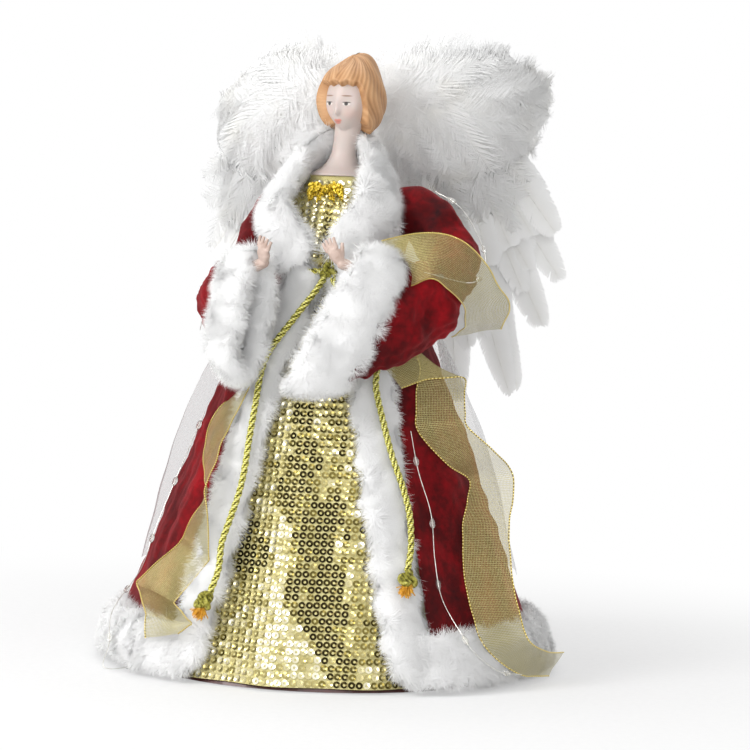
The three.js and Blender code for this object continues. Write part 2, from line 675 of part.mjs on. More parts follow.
// Robe: open in front between the two plush bands, with folds, armholes and a fitted top
const openLeft = (z) => rad(mix(OPEN_LEFT_HEM, OPEN_LEFT_WAIST, z / WAIST_Z));
const openRight = (z) => -rad(mix(OPEN_RIGHT_HEM, OPEN_RIGHT_WAIST, z / WAIST_Z));
const bandAngle = (z) => FUR_W / (furIn(Math.min(z, WAIST_Z)) + FUR_T / 2);
const robeFrom = (z) => openLeft(Math.min(z, WAIST_Z)) + bandAngle(z) + BAND_CLEAR / furIn(z);
const robeTo = (z) => 2 * Math.PI + openRight(Math.min(z, WAIST_Z)) - bandAngle(z) - BAND_CLEAR / furIn(z);
const robeAngles = steps(ROBE_FOLDS * 4).map((t) => (z) => mix(robeFrom(z), robeTo(z), t));
const robeHeights = [
  ...steps(ROBE_ROWS).map((t) => mix(HEM_FUR_H + GAP, WAIST_Z, t)),
  ...steps(YOKE_ROWS).map((t) => mix(CONE_H + GAP, ROBE_TOP, t)),
];
function robeIn(angle, z) {
  const over = z > CONE_H ? torsoR(angle, z) + 2 * GAP + DRESS_T + ROBE_EASE / 2 : dressMax(z);
  return over + GAP + ROBE_EASE * fade(z) + robeFold(angle, z);
}
const robe = clothWall(robeAngles, robeHeights, robeIn, ROBE_T, false);
add('robe', cut(robe, armHole(1), armHole(-1), ...prongHoles), RED);

// Plush band: rounded strip between two angles, from the hem to the waist
function frontBand(edge, turn) {
  const top = WAIST_Z - CORD_D - GAP;
  const sections = steps(BAND_ROWS).map((t) => mix(HEM_CLEAR, top, t)).map((z) => {
    const middle = edge(z) + (turn * bandAngle(z)) / 2;
    return roundAngles(FUR_SIDES).map((a) => {
      const across = Math.sign(Math.cos(a)) * Math.sqrt(Math.abs(Math.cos(a)));
      return polar(middle + (bandAngle(z) / 2) * across, furIn(z) + FUR_T * (0.5 + 0.5 * Math.sin(a)), z);
    });
  });
  return loft(sections);
}
add('fur_band_left', frontBand(openLeft, 1), WHITE);
add('fur_band_right', frontBand(openRight, -1), WHITE);

// Plush hem: a bulging ring from one band round the back to the other
const hemAngles = steps(HEM_COLUMNS).map((t) => mix(robeFrom(HEM_FUR_H), robeTo(HEM_FUR_H), t));
const hemMiddle = (HEM_FUR_H + HEM_CLEAR) / 2;
const hemSections = hemAngles.map((angle) => roundAngles(FUR_SIDES).map((a) => {
  const z = hemMiddle + ((HEM_FUR_H - HEM_CLEAR) / 2) * Math.sin(a);
  return polar(angle, furIn(z) + HEM_FUR_T * (0.5 + 0.5 * Math.cos(a)), z);
}));
add('fur_hem', loft(hemSections), WHITE);

// Plush shawl collar: from the waist, round the back of the neck, to the waist again
function collarStop([angle, rise, share]) {
  const z = CONE_H + rise;
  const under = robeIn(rad(angle), Math.min(z, ROBE_TOP)) + ROBE_T + 2 * GAP;
  return polar(rad(angle), under + COLLAR_T / 2 + COLLAR_LIFT * share, z);
}
const neckBack = NECK_R + GAP + COLLAR_T / 2 + COLLAR_NECK_EASE;
const neckSide = neckBack + COLLAR_T / 2;
const collarLine = new THREE.CatmullRomCurve3([
  ...COLLAR_RIGHT.map(collarStop),
  V(-neckSide, 0, TORSO_TOP + PLATE_T + COLLAR_SIDE_RISE),
  V(0, neckBack, TORSO_TOP + PLATE_T + COLLAR_RISE),
  V(neckSide, 0, TORSO_TOP + PLATE_T + COLLAR_SIDE_RISE),
  ...COLLAR_LEFT.map(collarStop).reverse(),
], false, 'centripetal');
const collarSections = steps(COLLAR_STEPS).map((t) => {
  const centre = collarLine.getPointAt(t);
  const forward = collarLine.getTangentAt(t);
  const face = centre.clone().setZ(COLLAR_TILT).normalize();
  face.addScaledVector(forward, -face.dot(forward)).normalize();
  const width = new THREE.Vector3().crossVectors(forward, face);
  const taper = mix(COLLAR_END, 1, Math.sqrt(Math.sin(Math.PI * mix(COLLAR_TIP, 1 - COLLAR_TIP, t))));
  return roundAngles(FUR_SIDES).map((a) => {
    return centre.clone()
      .addScaledVector(width, (COLLAR_W / 2) * taper * Math.cos(a))
      .addScaledVector(face, (COLLAR_T / 2) * taper * Math.sin(a));
  });
});
add('fur_collar', cut(loft(collarSections), neck(GAP), skull(GAP), hairCap(GAP)), WHITE);

// Gold bow at the neckline: two loops and two tails round a small knot
const bowPoint = ([across, height]) => new THREE.Vector2(BOW_W * across, BOW_H * height);
const bowMirror = BOW_HALF.slice(1, -1).reverse().map(([across, height]) => [-across, height]);
const bowOutline = new THREE.Shape([...BOW_HALF, ...bowMirror].map(bowPoint));
const bowFoot = Math.min(...BOW_HALF.map(([, height]) => height));
const bowZ = TORSO_TOP - BODICE_DROP - BOW_H / 2;
const bow = new THREE.ExtrudeGeometry(bowOutline, {
  depth: BOW_T - 2 * BOW_BEVEL,
  bevelThickness: BOW_BEVEL,
  bevelSize: BOW_BEVEL,
  bevelSegments: 1,
});
bow.rotateX(Math.PI / 2).translate(0, -torsoRy(bowZ + BOW_H * bowFoot) - 2 * GAP - DRESS_T - BOW_BEVEL, bowZ);
add('neck_bow', bow, GOLD);

// Belt: the cord round the waist, tied in front
const beltR = robeMax(WAIST_Z) + GAP + CORD_D / 2;
const beltSections = roundAngles(24).map((angle) => Array.from({ length: 6 }, (_, j) => {
  const a = (2 * Math.PI * j) / 6;
  return polar(angle, beltR + (CORD_D / 2) * Math.cos(a), WAIST_Z + (CORD_D / 2) * Math.sin(a));
}));
const beltKnotAt = polar(rad(BELT_KNOT_ANGLE), beltR + CORD_D / 2, WAIST_Z);
add('belt_cord', join(loft(beltSections, true), ballAt(BELT_KNOT_R, beltKnotAt)), CORD_GOLD);

// Cord tails on the plush bands; a knot and a cut end finish each
const tailR = (z) => furOut(z) + GAP + CORD_D / 2;
const onTail = ([angle, z], lift = 0) => polar(rad(angle), tailR(z) + lift, z);
function cordTail(name, stops) {
  const points = stops.map((stop) => onTail(stop));
  const start = points[0].clone().sub(beltKnotAt).normalize();
  points.unshift(beltKnotAt.clone().addScaledVector(start, BELT_KNOT_R + PIN_GAP));
  const last = points.at(-1);
  const before = points.at(-2);
  const down = last.clone().sub(before).normalize();
  add(`cord_tail_${name}`, tube(points, CORD_D, TAIL_STEPS), CORD_GOLD);
  const knotAt = last.clone().addScaledVector(down, TAIL_KNOT_R - PIN_GAP);
  knotAt.add(polar(rad(stops.at(-1)[0]), TAIL_KNOT_R - CORD_D / 2, 0));
  const end = knotAt.clone().addScaledVector(down, TAIL_KNOT_R + TAIL_END_L);
  const knot = join(ballAt(TAIL_KNOT_R, knotAt), rod(knotAt, end, TAIL_END_R, TAIL_END_R * 1.25));
  add(`cord_knot_${name}`, knot, CORD_GOLD);
}
cordTail('right', TAIL_RIGHT);
cordTail('left', TAIL_LEFT);

// Veil: sheer sheet that hangs behind the robe
const veilAngles = steps(VEIL_WAVES * 4).map((t) => mix(rad(VEIL_LEFT), 2 * Math.PI - rad(VEIL_RIGHT), t));
const veilHeights = steps(VEIL_ROWS).map((t) => mix(VEIL_BOTTOM, VEIL_TOP, t));
const veilSwing = (z) => Math.sin(Math.PI * THREE.MathUtils.inverseLerp(VEIL_BOTTOM, VEIL_TOP, z));
const veilIn = (angle, z) => robeMax(z) + GAP + VEIL_EASE * veilSwing(z)
  + VEIL_WAVE * veilSwing(z) * (0.5 + 0.5 * Math.cos(VEIL_WAVES * angle));
add('veil', clothWall(veilAngles, veilHeights, veilIn, VEIL_T, false), SHEER);

// Row of a sleeve as a ring: its middle, the half vector to its top and the half vector across it.
function sleeveRings(side, rows) {
  const place = (p) => pivot(side).add(V(side * p[0], p[1], p[2]));
  const middles = rows.map((row) => place(row.top).add(place(row.bottom)).multiplyScalar(0.5));
  return rows.map((row, i) => {
    const tall = place(row.top).sub(middles[i]);
    const forward = middles[Math.min(i + 1, rows.length - 1)].clone().sub(middles[Math.max(i - 1, 0)]);
    const across = new THREE.Vector3().crossVectors(tall, forward).setLength(side * row.depth);
    return { middle: middles[i], tall, across };
  });
}

// Point on a sleeve: place along its rows, turn from the top, and height off the cloth.
function onRings(rings, along, turn, lift) {
  const i = Math.min(Math.floor(along), rings.length - 2);
  const blend = (key) => rings[i][key].clone().lerp(rings[i + 1][key], along - i);
  const tall = blend('tall');
  const across = blend('across');
  return blend('middle')
    .addScaledVector(tall, Math.cos(turn) * (1 + lift / tall.length()))
    .addScaledVector(across, Math.sin(turn) * (1 + lift / across.length()));
}

// Tube of cloth with open ends, between two places along the rings
function ringWall(rings, from, to, count, sides, wall, puff = () => 0) {
  const sections = roundAngles(sides).map((turn) => {
    const line = (depth) => steps(count).map((t) => onRings(rings, mix(from, to, t), turn, puff(t) - depth));
    return [...line(0), ...line(wall).reverse()];
  });
  return loft(sections, true);
}

// Porcelain forearm and hand, pointing along +Z from the wrist, with a bore for the arm wire
function handShape(mirror) {
  const palm = new THREE.SphereGeometry(1, 8, 6).scale(PALM_W, PALM_T, PALM_L);
  palm.translate(0, 0, PALM_L * PALM_MIDDLE);
  const finger = (share) => {
    const x = mix(-PALM_W, PALM_W, share) * FINGER_SPREAD;
    const reach = FINGER_L * (1 - FINGER_SHORTER * (share - LONGEST_FINGER) ** 2);
    const on = ([spread, curl, length]) => V(x * spread, -FINGER_CURL * curl, reach * length);
    const knuckle = V(x, 0, PALM_L * KNUCKLE);
    const joint = knuckle.clone().add(on(FINGER_JOINT));
    const tip = joint.clone().add(on(FINGER_TIP));
    return tube([knuckle, joint, tip], 2 * FINGER_R, 3, 5, (s) => 1 - FINGER_TAPER * s);
  };
  const onPalm = ([w, t, l]) => V(PALM_W * w, PALM_T * t, PALM_L * l);
  const thumbEnds = [THUMB_ROOT, THUMB_TIP];
  const thumb = rod(...thumbEnds.map(({ at }) => onPalm(at)), ...thumbEnds.map(({ r }) => FINGER_R * r), 5);
  return join(palm, ...FINGERS.map(finger), thumb).scale(mirror, 1, 1);
}

function arm(side, name, rows, opening, pose) {
  const rings = sleeveRings(side, [...rows, opening]);
  const last = rows.length - 1;
  const under = (at) => onRings(rings, at, 0, -HAND_DROP);
  const inner = under(last);
  const outer = under(last + 1);
  const reach = outer.clone().sub(inner).normalize();
  const wrist = outer.clone().addScaledVector(reach, pose.out + WRIST_R);
  const heel = wrist.clone().addScaledVector(reach, -FOREARM_L);
  const bored = cut(
    rod(heel, wrist, FOREARM_R, WRIST_R, 10),
    rod(heel.clone().addScaledVector(reach, -1), heel.clone().addScaledVector(reach, WIRE_BORE_L),
      ARM_WIRE_D / 2 + PIN_GAP),
  );
  const hand = along(outward(handShape(side)), wrist, wrist.clone().add(V(...pose.points)), rad(pose.twist));
  const ball = new THREE.SphereGeometry(WRIST_R, 8, 6).translate(...wrist.toArray());
  add(`forearm_${name}`, join(bored, ball, hand), SKIN);

  const shoulder = pivot(side).add(V(side * CUP_R * WIRE_ROOT, 0, 0));
  const wireEnd = heel.clone().addScaledVector(reach, WIRE_BORE_L - PIN_GAP);
  const wire = tube([
    shoulder,
    pivot(side).add(V(side * CUP_R * WIRE_TURN[0], 0, -CUP_R * WIRE_TURN[1])),
    onRings(rings, 1, 0, -HAND_DROP - WIRE_DIP),
    onRings(rings, 2, 0, -HAND_DROP - WIRE_DIP),
    onRings(rings, 3, 0, -HAND_DROP),
    heel.clone().addScaledVector(reach, -WIRE_BORE_L),
    heel,
    wireEnd,
  ], ARM_WIRE_D, 18, 6);
  const wireBall = new THREE.SphereGeometry(ARM_BALL_R, 8, 6).translate(...pivot(side).toArray());
  add(`arm_wire_${name}`, join(wire, wireBall), STEEL);

  const seam = last + GAP / rings[last].middle.distanceTo(rings[last + 1].middle);
  const swell = (t) => CUFF_PUFF * Math.sin(Math.PI * mix(CUFF_EDGE, 1 - CUFF_EDGE, t));
  add(`sleeve_${name}`, ringWall(rings, 0, last, SLEEVE_STEPS, SLEEVE_SIDES, SLEEVE_T), RED);
  add(`cuff_${name}`, ringWall(rings, seam, last + 1, CUFF_STEPS, SLEEVE_SIDES, CUFF_T, swell), WHITE);
  return rings;
}
const leftRings = arm(1, 'left', SLEEVE_LEFT, OPENING_LEFT, HAND_LEFT);
const rightRings = arm(-1, 'right', SLEEVE_RIGHT, OPENING_RIGHT, HAND_RIGHT);

// Ribbon: strip with a section that follows the cloth below it, four points wide
function strip(points) {
  return loft(points.map((row) => [...row.map(([low]) => low), ...row.map(([, high]) => high).reverse()]));
}
const across = [0, 1 / 3, 2 / 3, 1];

// Loop of ribbon that lies over the left sleeve from the cuff to the elbow
const loopRows = steps(LOOP_STEPS).map((t) => across.map((w) => {
  const at = mix(RIBBON_LOOP.from, RIBBON_LOOP.to, t);
  const turn = rad(mix(mix(...RIBBON_LOOP.upper, t), mix(...RIBBON_LOOP.lower, t), w));
  return [0, RIBBON_T].map((up) => onRings(leftRings, at, turn, 3 * GAP + up));
}));
add('ribbon_loop_left', strip(loopRows), GOLD);

// Outside of everything that hangs on the cone, at a height
function skinR(z) {
  const atHem = 1 - smooth(z, HEM_FUR_H + HEM_BLEND[0], HEM_FUR_H + HEM_BLEND[1]);
  return furIn(z) + mix(FUR_T, HEM_FUR_T, atHem) + GAP;
}

// Ribbon tail: hangs from one angle and height to another, swaying and turning as it falls
function ribbonTail({ angle, height, lift, sway, turn, turns }) {
  const rows = steps(RIBBON_STEPS).map((t) => {
    const z = mix(...height, t);
    const r = skinR(z) + lift;
    const heading = rad(turn) * Math.sin(2 * Math.PI * turns * t);
    const middle = rad(mix(...angle, t) + sway * Math.sin(2 * Math.PI * turns * t + 1));
    return across.map((w) => {
      const offset = RIBBON_W * (w - 0.5);
      const level = z + offset * Math.sin(heading);
      const place = middle + (offset * Math.cos(heading)) / r;
      const base = Math.max(r, skinR(level));
      return [0, RIBBON_T].map((up) => polar(place, base + up, level));
    });
  });
  return strip(rows);
}
add('ribbon_tail_left', ribbonTail(RIBBON_LEFT), GOLD);
add('ribbon_tail_right', ribbonTail(RIBBON_RIGHT), GOLD);

// Feather: a curved shaft with a cambered vane on each side, hanging along -Z from its quill
function feather(length, width, bend, count) {
  const sections = steps(count).map((t) => {
    const vane = Math.sin(Math.PI * Math.min(1, VANE_START + VANE_SPAN * t ** VANE_LEAN)) ** VANE_ROUND;
    const half = Math.max(SHAFT_D * SHAFT_EDGE, (width / 2) * smooth(t, ...BARE_QUILL) * vane);
    const x = bend * t * t;
    const front = VANE_CAMBER * half;
    const back = front + FEATHER_T * VANE_EDGE;
    const shaft = mix(SHAFT_D, FEATHER_T, t) / 2;
    const outline = [[-half, front], [0, -shaft], [half, front], [half, back], [0, shaft], [-half, back]];
    return outline.map(([out, y]) => V(x + out, y, -length * t));
  });
  return loft(sections);
}

// Wing: a backing card that turns on the staple wire, down in front, coverts and long feathers behind
const tubeR = HINGE_WIRE_D / 2 + PIN_GAP + HINGE_TUBE_WALL;
function wingCard() {
  const outline = new THREE.Shape();
  const onCard = ([out, height]) => [CARD_REACH * out, CARD_TOP * height];
  outline.moveTo(tubeR * CARD_ROOT, 1);
  CARD_EDGE.forEach(([control, corner]) => outline.quadraticCurveTo(...onCard(control), ...onCard(corner)));
  outline.quadraticCurveTo(...onCard(CARD_BACK), tubeR * CARD_ROOT, HINGE_L - 1);
  const plate = new THREE.ExtrudeGeometry(outline, { depth: CARD_T, bevelEnabled: false, curveSegments: 6 });
  plate.translate(0, 0, -CARD_T / 2).rotateX(Math.PI / 2);
  const sleeve = rod(V(0, 0, 0), V(0, 0, HINGE_L), tubeR, tubeR, 12);
  const boreR = HINGE_WIRE_D / 2 + PIN_GAP;
  const bore = rod(V(0, 0, -1), V(0, 0, HINGE_L + 1), boreR, boreR, 12);
  return cut(join(plate, sleeve), bore);
}
const featherShare = (k, count) => k / (count - 1);
function featherLength(share) {
  const past = Math.max(0, (share - FEATHER_EVEN) / (1 - FEATHER_EVEN));
  return FEATHER_L * (1 - FEATHER_SHORTEN * past ** 2);
}
function fanned(shape, from, to, share, y) {
  shape.rotateY(-rad(mix(from.lean, to.lean, share)));
  return shape.translate(mix(from.x, to.x, share), y, mix(from.z, to.z, share));
}
function downPad() {
  const ball = new THREE.SphereGeometry(1, 28, 8);
  const points = ball.getAttribute('position');
  const back = -CARD_T / 2 - GAP;
  for (let i = 0; i < points.count; i++) {
    const d = new THREE.Vector3().fromBufferAttribute(points, i);
    const edge = Math.atan2(d.z, d.x);
    const puff = DOWN_BUMP * Math.sin(DOWN_BUMPS * edge) * Math.hypot(d.x, d.z);
    const y = Math.min(back, back + 2 * DOWN_T * d.y);
    const tall = d.z > 0 ? DOWN_RZ : mix(DOWN_RZ, DOWN_DROP, 0.5 - 0.5 * d.x);
    points.setXYZ(i, d.x * (DOWN_RX + puff), y, d.z * (tall + puff));
  }
  return ball.translate(DOWN_RX + DOWN_INSET, 0, CARD_TOP * DOWN_RISE);
}
function wing(side, name) {
  const group = new THREE.Group();
  group.position.set(side * HINGE_X, hingeY, hingeLow);
  group.rotation.z = side * rad(WING_SWEEP);
  root.add(group);
  const mirrored = (geometry) => outward(geometry.scale(side, 1, 1));
  const hang = (part, geometry, finish) => group.add(add(`${part}_${name}`, mirrored(geometry), finish));
  hang('wing_card', wingCard(), CARD);
  hang('wing_down', downPad(), WHITE);
  const covertY = CARD_T / 2 + GAP + FEATHER_T;
  const coverts = Array.from({ length: COVERTS }, (_, k) => {
    const share = featherShare(k, COVERTS);
    const shape = feather(COVERT_L, COVERT_W, COVERT_BEND, COVERT_STEPS);
    return fanned(shape, COVERT_IN, COVERT_OUT, share, covertY + COVERT_STEP * k);
  });
  hang('wing_coverts', join(...coverts), WHITE);
  const stackY = covertY + COVERT_STEP * COVERTS + FEATHER_T + GAP;
  for (let k = 0; k < FEATHERS; k++) {
    const share = featherShare(k, FEATHERS);
    const shape = feather(featherLength(share), FEATHER_W, FEATHER_BEND, FEATHER_STEPS);
    fanned(shape, FAN_IN, FAN_OUT, share, stackY + k * (FEATHER_PITCH + FEATHER_T));
    hang(`feather_${k + 1}`, shape, WHITE);
  }
}
wing(1, 'left');
wing(-1, 'right');

// Light wire: fine wire with clear drops at an even pitch
function lightWire(points, count, dark = LED_D) {
  const drop = (s) => {
    const off = Math.abs(((s + LED_PITCH / 2) % LED_PITCH) - LED_PITCH / 2);
    return off < LED_D && s > dark ? mix(LED_D / LIGHT_D, 1, off / LED_D) : 1;
  };
  return tube(points, LIGHT_D, count, 5, drop);
}
const wireLift = GAP + LED_D / 2;
function onRobe([angle, z]) {
  const under = z > HEM_FUR_H + HEM_BLEND[1] ? robeMax(z) : skinR(z) - 2 * GAP;
  return polar(rad(angle), under + wireLift, z);
}

// Battery box on the inside of the cone; its frame has Z up the wall, Y towards the wall and X along it
const wallTilt = Math.atan((CONE_BOTTOM_R - CONE_TOP_R) / CONE_H);
const boxR = coneR(BOX_Z) - CONE_WALL / Math.cos(wallTilt);
const padBow = PAD_W ** 2 / (8 * boxR);
const boxGroup = new THREE.Group();
const boxAt = polar(rad(BOX_ANGLE), boxR - (PIN_GAP + padBow + PAD_T + PIN_GAP) / Math.cos(wallTilt), BOX_Z);
boxGroup.position.copy(boxAt);
boxGroup.rotation.order = 'ZXY';
boxGroup.rotation.z = rad(BOX_ANGLE) + Math.PI;
boxGroup.rotation.x = wallTilt;
root.add(boxGroup);
function inBox(name, geometry, finish) {
  boxGroup.add(add(name, geometry, finish));
}
const block = (w, t, l, x, y, z) => new THREE.BoxGeometry(w, t, l).translate(x, y, z);
inBox('battery_pad', block(PAD_W, PAD_T, PAD_L, 0, PIN_GAP + PAD_T / 2, 0), BLACK);

// Cover slides down the face of the box in a dovetail
function dovetail(grow, length) {
  const half = BOX_W / 2 - BOX_WALL * 1.5 + grow;
  const outline = new THREE.Shape();
  outline.moveTo(-half - COVER_T * COVER_SLANT, 0);
  outline.lineTo(half + COVER_T * COVER_SLANT, 0);
  outline.lineTo(half, COVER_T + grow);
  outline.lineTo(-half, COVER_T + grow);
  outline.closePath();
  const bar = new THREE.ExtrudeGeometry(outline, { depth: length, bevelEnabled: false });
  return bar.translate(0, -BOX_T, -BOX_L / 2);
}
const cellZ = -BOX_L / 2 + BOX_WALL + CELL_R + PIN_GAP;
const wellFloor = -BOX_T + COVER_T + 3 * PIN_GAP + 2 * CELL_T;
const wellR = CELL_R + PIN_GAP;
const well = rod(V(0, -BOX_T - 1, cellZ), V(0, wellFloor + PIN_GAP, cellZ), wellR, wellR, 20);
const switchZ = BOX_L / 2 - BOX_WALL - SWITCH_W;
const slotL = SWITCH_L + SWITCH_TRAVEL + 2 * PIN_GAP;
const slot = block(slotL, 2 * SWITCH_H, SWITCH_W + 2 * PIN_GAP, SWITCH_TRAVEL / 2, -BOX_T, switchZ);
const caseBlock = block(BOX_W, BOX_T, BOX_L, 0, -BOX_T / 2, 0);
const coverSlot = dovetail(PIN_GAP, COVER_L + PIN_GAP).translate(0, 0, -PIN_GAP);
const coverMouth = block(BOX_W - 3 * BOX_WALL, 2 * PIN_GAP, COVER_L, 0, -BOX_T, -BOX_L / 2 + COVER_L / 2);
inBox('battery_case', cut(caseBlock, coverSlot, coverMouth, well, slot), BLACK);
inBox('battery_cover', dovetail(0, COVER_L), BLACK);
function coinCell(level) {
  const y = wellFloor - level * (CELL_T + PIN_GAP);
  return rod(V(0, y - CELL_T + PIN_GAP, cellZ), V(0, y, cellZ), CELL_R, CELL_R - CELL_EDGE, 20);
}
inBox('coin_cell_lower', coinCell(0), STEEL);
inBox('coin_cell_upper', coinCell(1), STEEL);
const knob = block(SWITCH_L, 2 * SWITCH_H - 2 * PIN_GAP, SWITCH_W, 0, -BOX_T - PIN_GAP, switchZ);
inBox('switch_knob', knob, WHITE);
boxGroup.updateMatrixWorld(true);
const exitX = -BOX_W / 2 - PIN_GAP - LIGHT_D / 2;
const wireExit = boxGroup.localToWorld(V(exitX, -BOX_T / 2, -BOX_L / 2 + WIRE_EXIT_RISE));

// The light string: out of the box, under the hem, up the right side, over both sleeves, down the left side
const onInside = (angle, z) => polar(rad(angle), coneR(z) - CONE_WALL - INSIDE_CLEAR, z);
const notchOut = (r) => polar(rad(WIRE_NOTCH_ANGLE), r, WIRE_NOTCH_H / 2);
add('light_string_front_right', lightWire([
  wireExit,
  onInside(BOX_ANGLE + INSIDE_FROM_BOX[0], INSIDE_FROM_BOX[1]),
  onInside(WIRE_NOTCH_ANGLE + INSIDE_TO_NOTCH[0], INSIDE_TO_NOTCH[1]),
  ...NOTCH_RUN.map((out) => notchOut(CONE_BOTTOM_R + out)),
  notchOut(skinR(0) + INSIDE_CLEAR),
  ...LIGHT_RIGHT.map(onRobe),
], LONG_RUN_STEPS, INSIDE_RUN), CLEAR);
add('light_string_front_left', lightWire(LIGHT_LEFT.map(onRobe), SIDE_RUN_STEPS), CLEAR);
function sleeveLight(rings, stops, lift) {
  const on = ([at, turn]) => onRings(rings, at, rad(turn), wireLift + lift);
  return lightWire(stops.map(on), SHORT_RUN_STEPS);
}
add('light_string_left_sleeve', sleeveLight(leftRings, LIGHT_LEFT_SLEEVE, RIBBON_T + 4 * GAP), CLEAR);
add('light_string_right_sleeve', sleeveLight(rightRings, LIGHT_RIGHT_SLEEVE, -RIGHT_WIRE_SINK), CLEAR);
const backZ = CONE_H + BACK_RISE;
const onBack = (angle) => polar(rad(angle), robeIn(rad(angle), backZ) + ROBE_T + wireLift, backZ);
add('light_string_back', lightWire(LIGHT_BACK.map(onBack), SHORT_RUN_STEPS), CLEAR);

export default root;
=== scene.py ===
# %% [markdown]
# # An angel for the top of a tree
# A card cone carries a porcelain head, a sequin dress, a velvet robe with plush trim and two feathered wings.
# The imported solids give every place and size. This lesson dresses them: each soft solid is replaced by cloth,
# plush, cord or feathers made over it, and the hard ones keep their shape and get a finish.

# %% Load the fixed frame
import math

import bpy
import numpy as np
from mathutils import Matrix, Vector


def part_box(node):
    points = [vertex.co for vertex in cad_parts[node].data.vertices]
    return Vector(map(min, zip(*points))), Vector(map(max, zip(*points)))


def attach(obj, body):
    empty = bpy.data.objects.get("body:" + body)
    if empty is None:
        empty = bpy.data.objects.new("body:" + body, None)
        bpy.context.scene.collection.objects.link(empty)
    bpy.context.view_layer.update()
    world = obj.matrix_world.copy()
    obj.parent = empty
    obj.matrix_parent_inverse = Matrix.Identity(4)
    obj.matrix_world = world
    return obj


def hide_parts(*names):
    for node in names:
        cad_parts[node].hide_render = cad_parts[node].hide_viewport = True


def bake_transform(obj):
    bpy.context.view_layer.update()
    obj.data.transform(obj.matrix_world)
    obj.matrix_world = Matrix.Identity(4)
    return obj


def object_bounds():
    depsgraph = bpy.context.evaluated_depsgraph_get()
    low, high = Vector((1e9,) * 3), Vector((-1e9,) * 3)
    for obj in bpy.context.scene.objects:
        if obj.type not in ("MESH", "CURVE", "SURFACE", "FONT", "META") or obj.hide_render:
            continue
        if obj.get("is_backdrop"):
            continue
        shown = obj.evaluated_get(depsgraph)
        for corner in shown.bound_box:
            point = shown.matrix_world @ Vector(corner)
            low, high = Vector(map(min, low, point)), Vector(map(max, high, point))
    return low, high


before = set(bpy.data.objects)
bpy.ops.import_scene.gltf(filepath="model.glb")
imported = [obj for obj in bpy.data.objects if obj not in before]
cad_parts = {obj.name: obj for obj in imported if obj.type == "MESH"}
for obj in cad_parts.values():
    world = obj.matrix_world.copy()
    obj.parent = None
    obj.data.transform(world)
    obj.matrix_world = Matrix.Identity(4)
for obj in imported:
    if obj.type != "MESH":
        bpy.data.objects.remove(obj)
cad_box = [[float(x) for x in corner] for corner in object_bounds()]
MM = 0.001
TAU = math.tau
print("solids reach", [[round(x / MM) for x in corner] for corner in cad_box], "mm")

# %% [markdown]
# ## Camera
# The photograph was taken from a little to the figure's left and slightly above the floor, with a long lens.
# The camera is placed by the pixel that the middle of the cone's rim has in it, so renders lie over it directly.

# %% Place the camera
IMAGE_PX = 750
SENSOR = 36.0
DISTANCE = 1500.0
MM_PER_PX = 0.49
RIM_MIDDLE_PX = (325, 659)
azimuth, elevation, roll = math.radians(14), math.radians(4), math.radians(2)
to_camera = Vector((
    math.sin(azimuth) * math.cos(elevation), -math.cos(azimuth) * math.cos(elevation), math.sin(elevation)))
level = Vector((math.cos(azimuth), math.sin(azimuth), 0))
right = level * math.cos(roll) + to_camera.cross(level) * math.sin(roll)
up = to_camera.cross(right)
across_px, down_px = (p - IMAGE_PX / 2 for p in RIM_MIDDLE_PX)
eye = to_camera * DISTANCE - right * across_px * MM_PER_PX + up * down_px * MM_PER_PX
bpy.ops.object.select_all(action="DESELECT")
bpy.ops.object.camera_add()
camera = bpy.context.object
camera.data.lens = SENSOR * DISTANCE / (MM_PER_PX * IMAGE_PX)
turned = Matrix((right, up, to_camera)).transposed().to_4x4()
camera.matrix_world = Matrix.Translation(eye * MM) @ turned
bpy.context.scene.camera = camera
bpy.context.scene.view_settings.view_transform = "Standard"
print("lens", round(camera.data.lens, 1), "mm")

# %% [markdown]
# ## Numbers on wires
# A finish is a small tree of nodes. Two classes keep it readable: Wire carries a number and turns sums into Math
# nodes, and Finish holds one material or the world, adds nodes and feeds their sockets.


# %% Wire
class Wire:
    """A number or colour on its way through a finish. Sums on it add Math nodes."""

    def __init__(self, finish, socket):
        self.finish, self.socket = finish, socket

    def sum(self, operation, *terms):
        return self.finish.wire("Math", {"operation": operation}, dict(enumerate(terms)))

    def __add__(self, other):
        return self.sum("ADD", self, other)

    def __sub__(self, other):
        return self.sum("SUBTRACT", self, other)

    def __rsub__(self, other):
        return self.sum("SUBTRACT", other, self)

    def __mul__(self, other):
        return self.sum("MULTIPLY", self, other)

    def wave(self):
        return self.sum("SINE", self)

    def size(self):
        return self.sum("ABSOLUTE", self)

    def larger(self, other):
        return self.sum("MAXIMUM", self, other)

    def between(self, low, high):
        return self.finish.wire("MapRange", {"interpolation_type": "SMOOTHSTEP"},
                                {"Value": self, "From Min": low, "From Max": high})


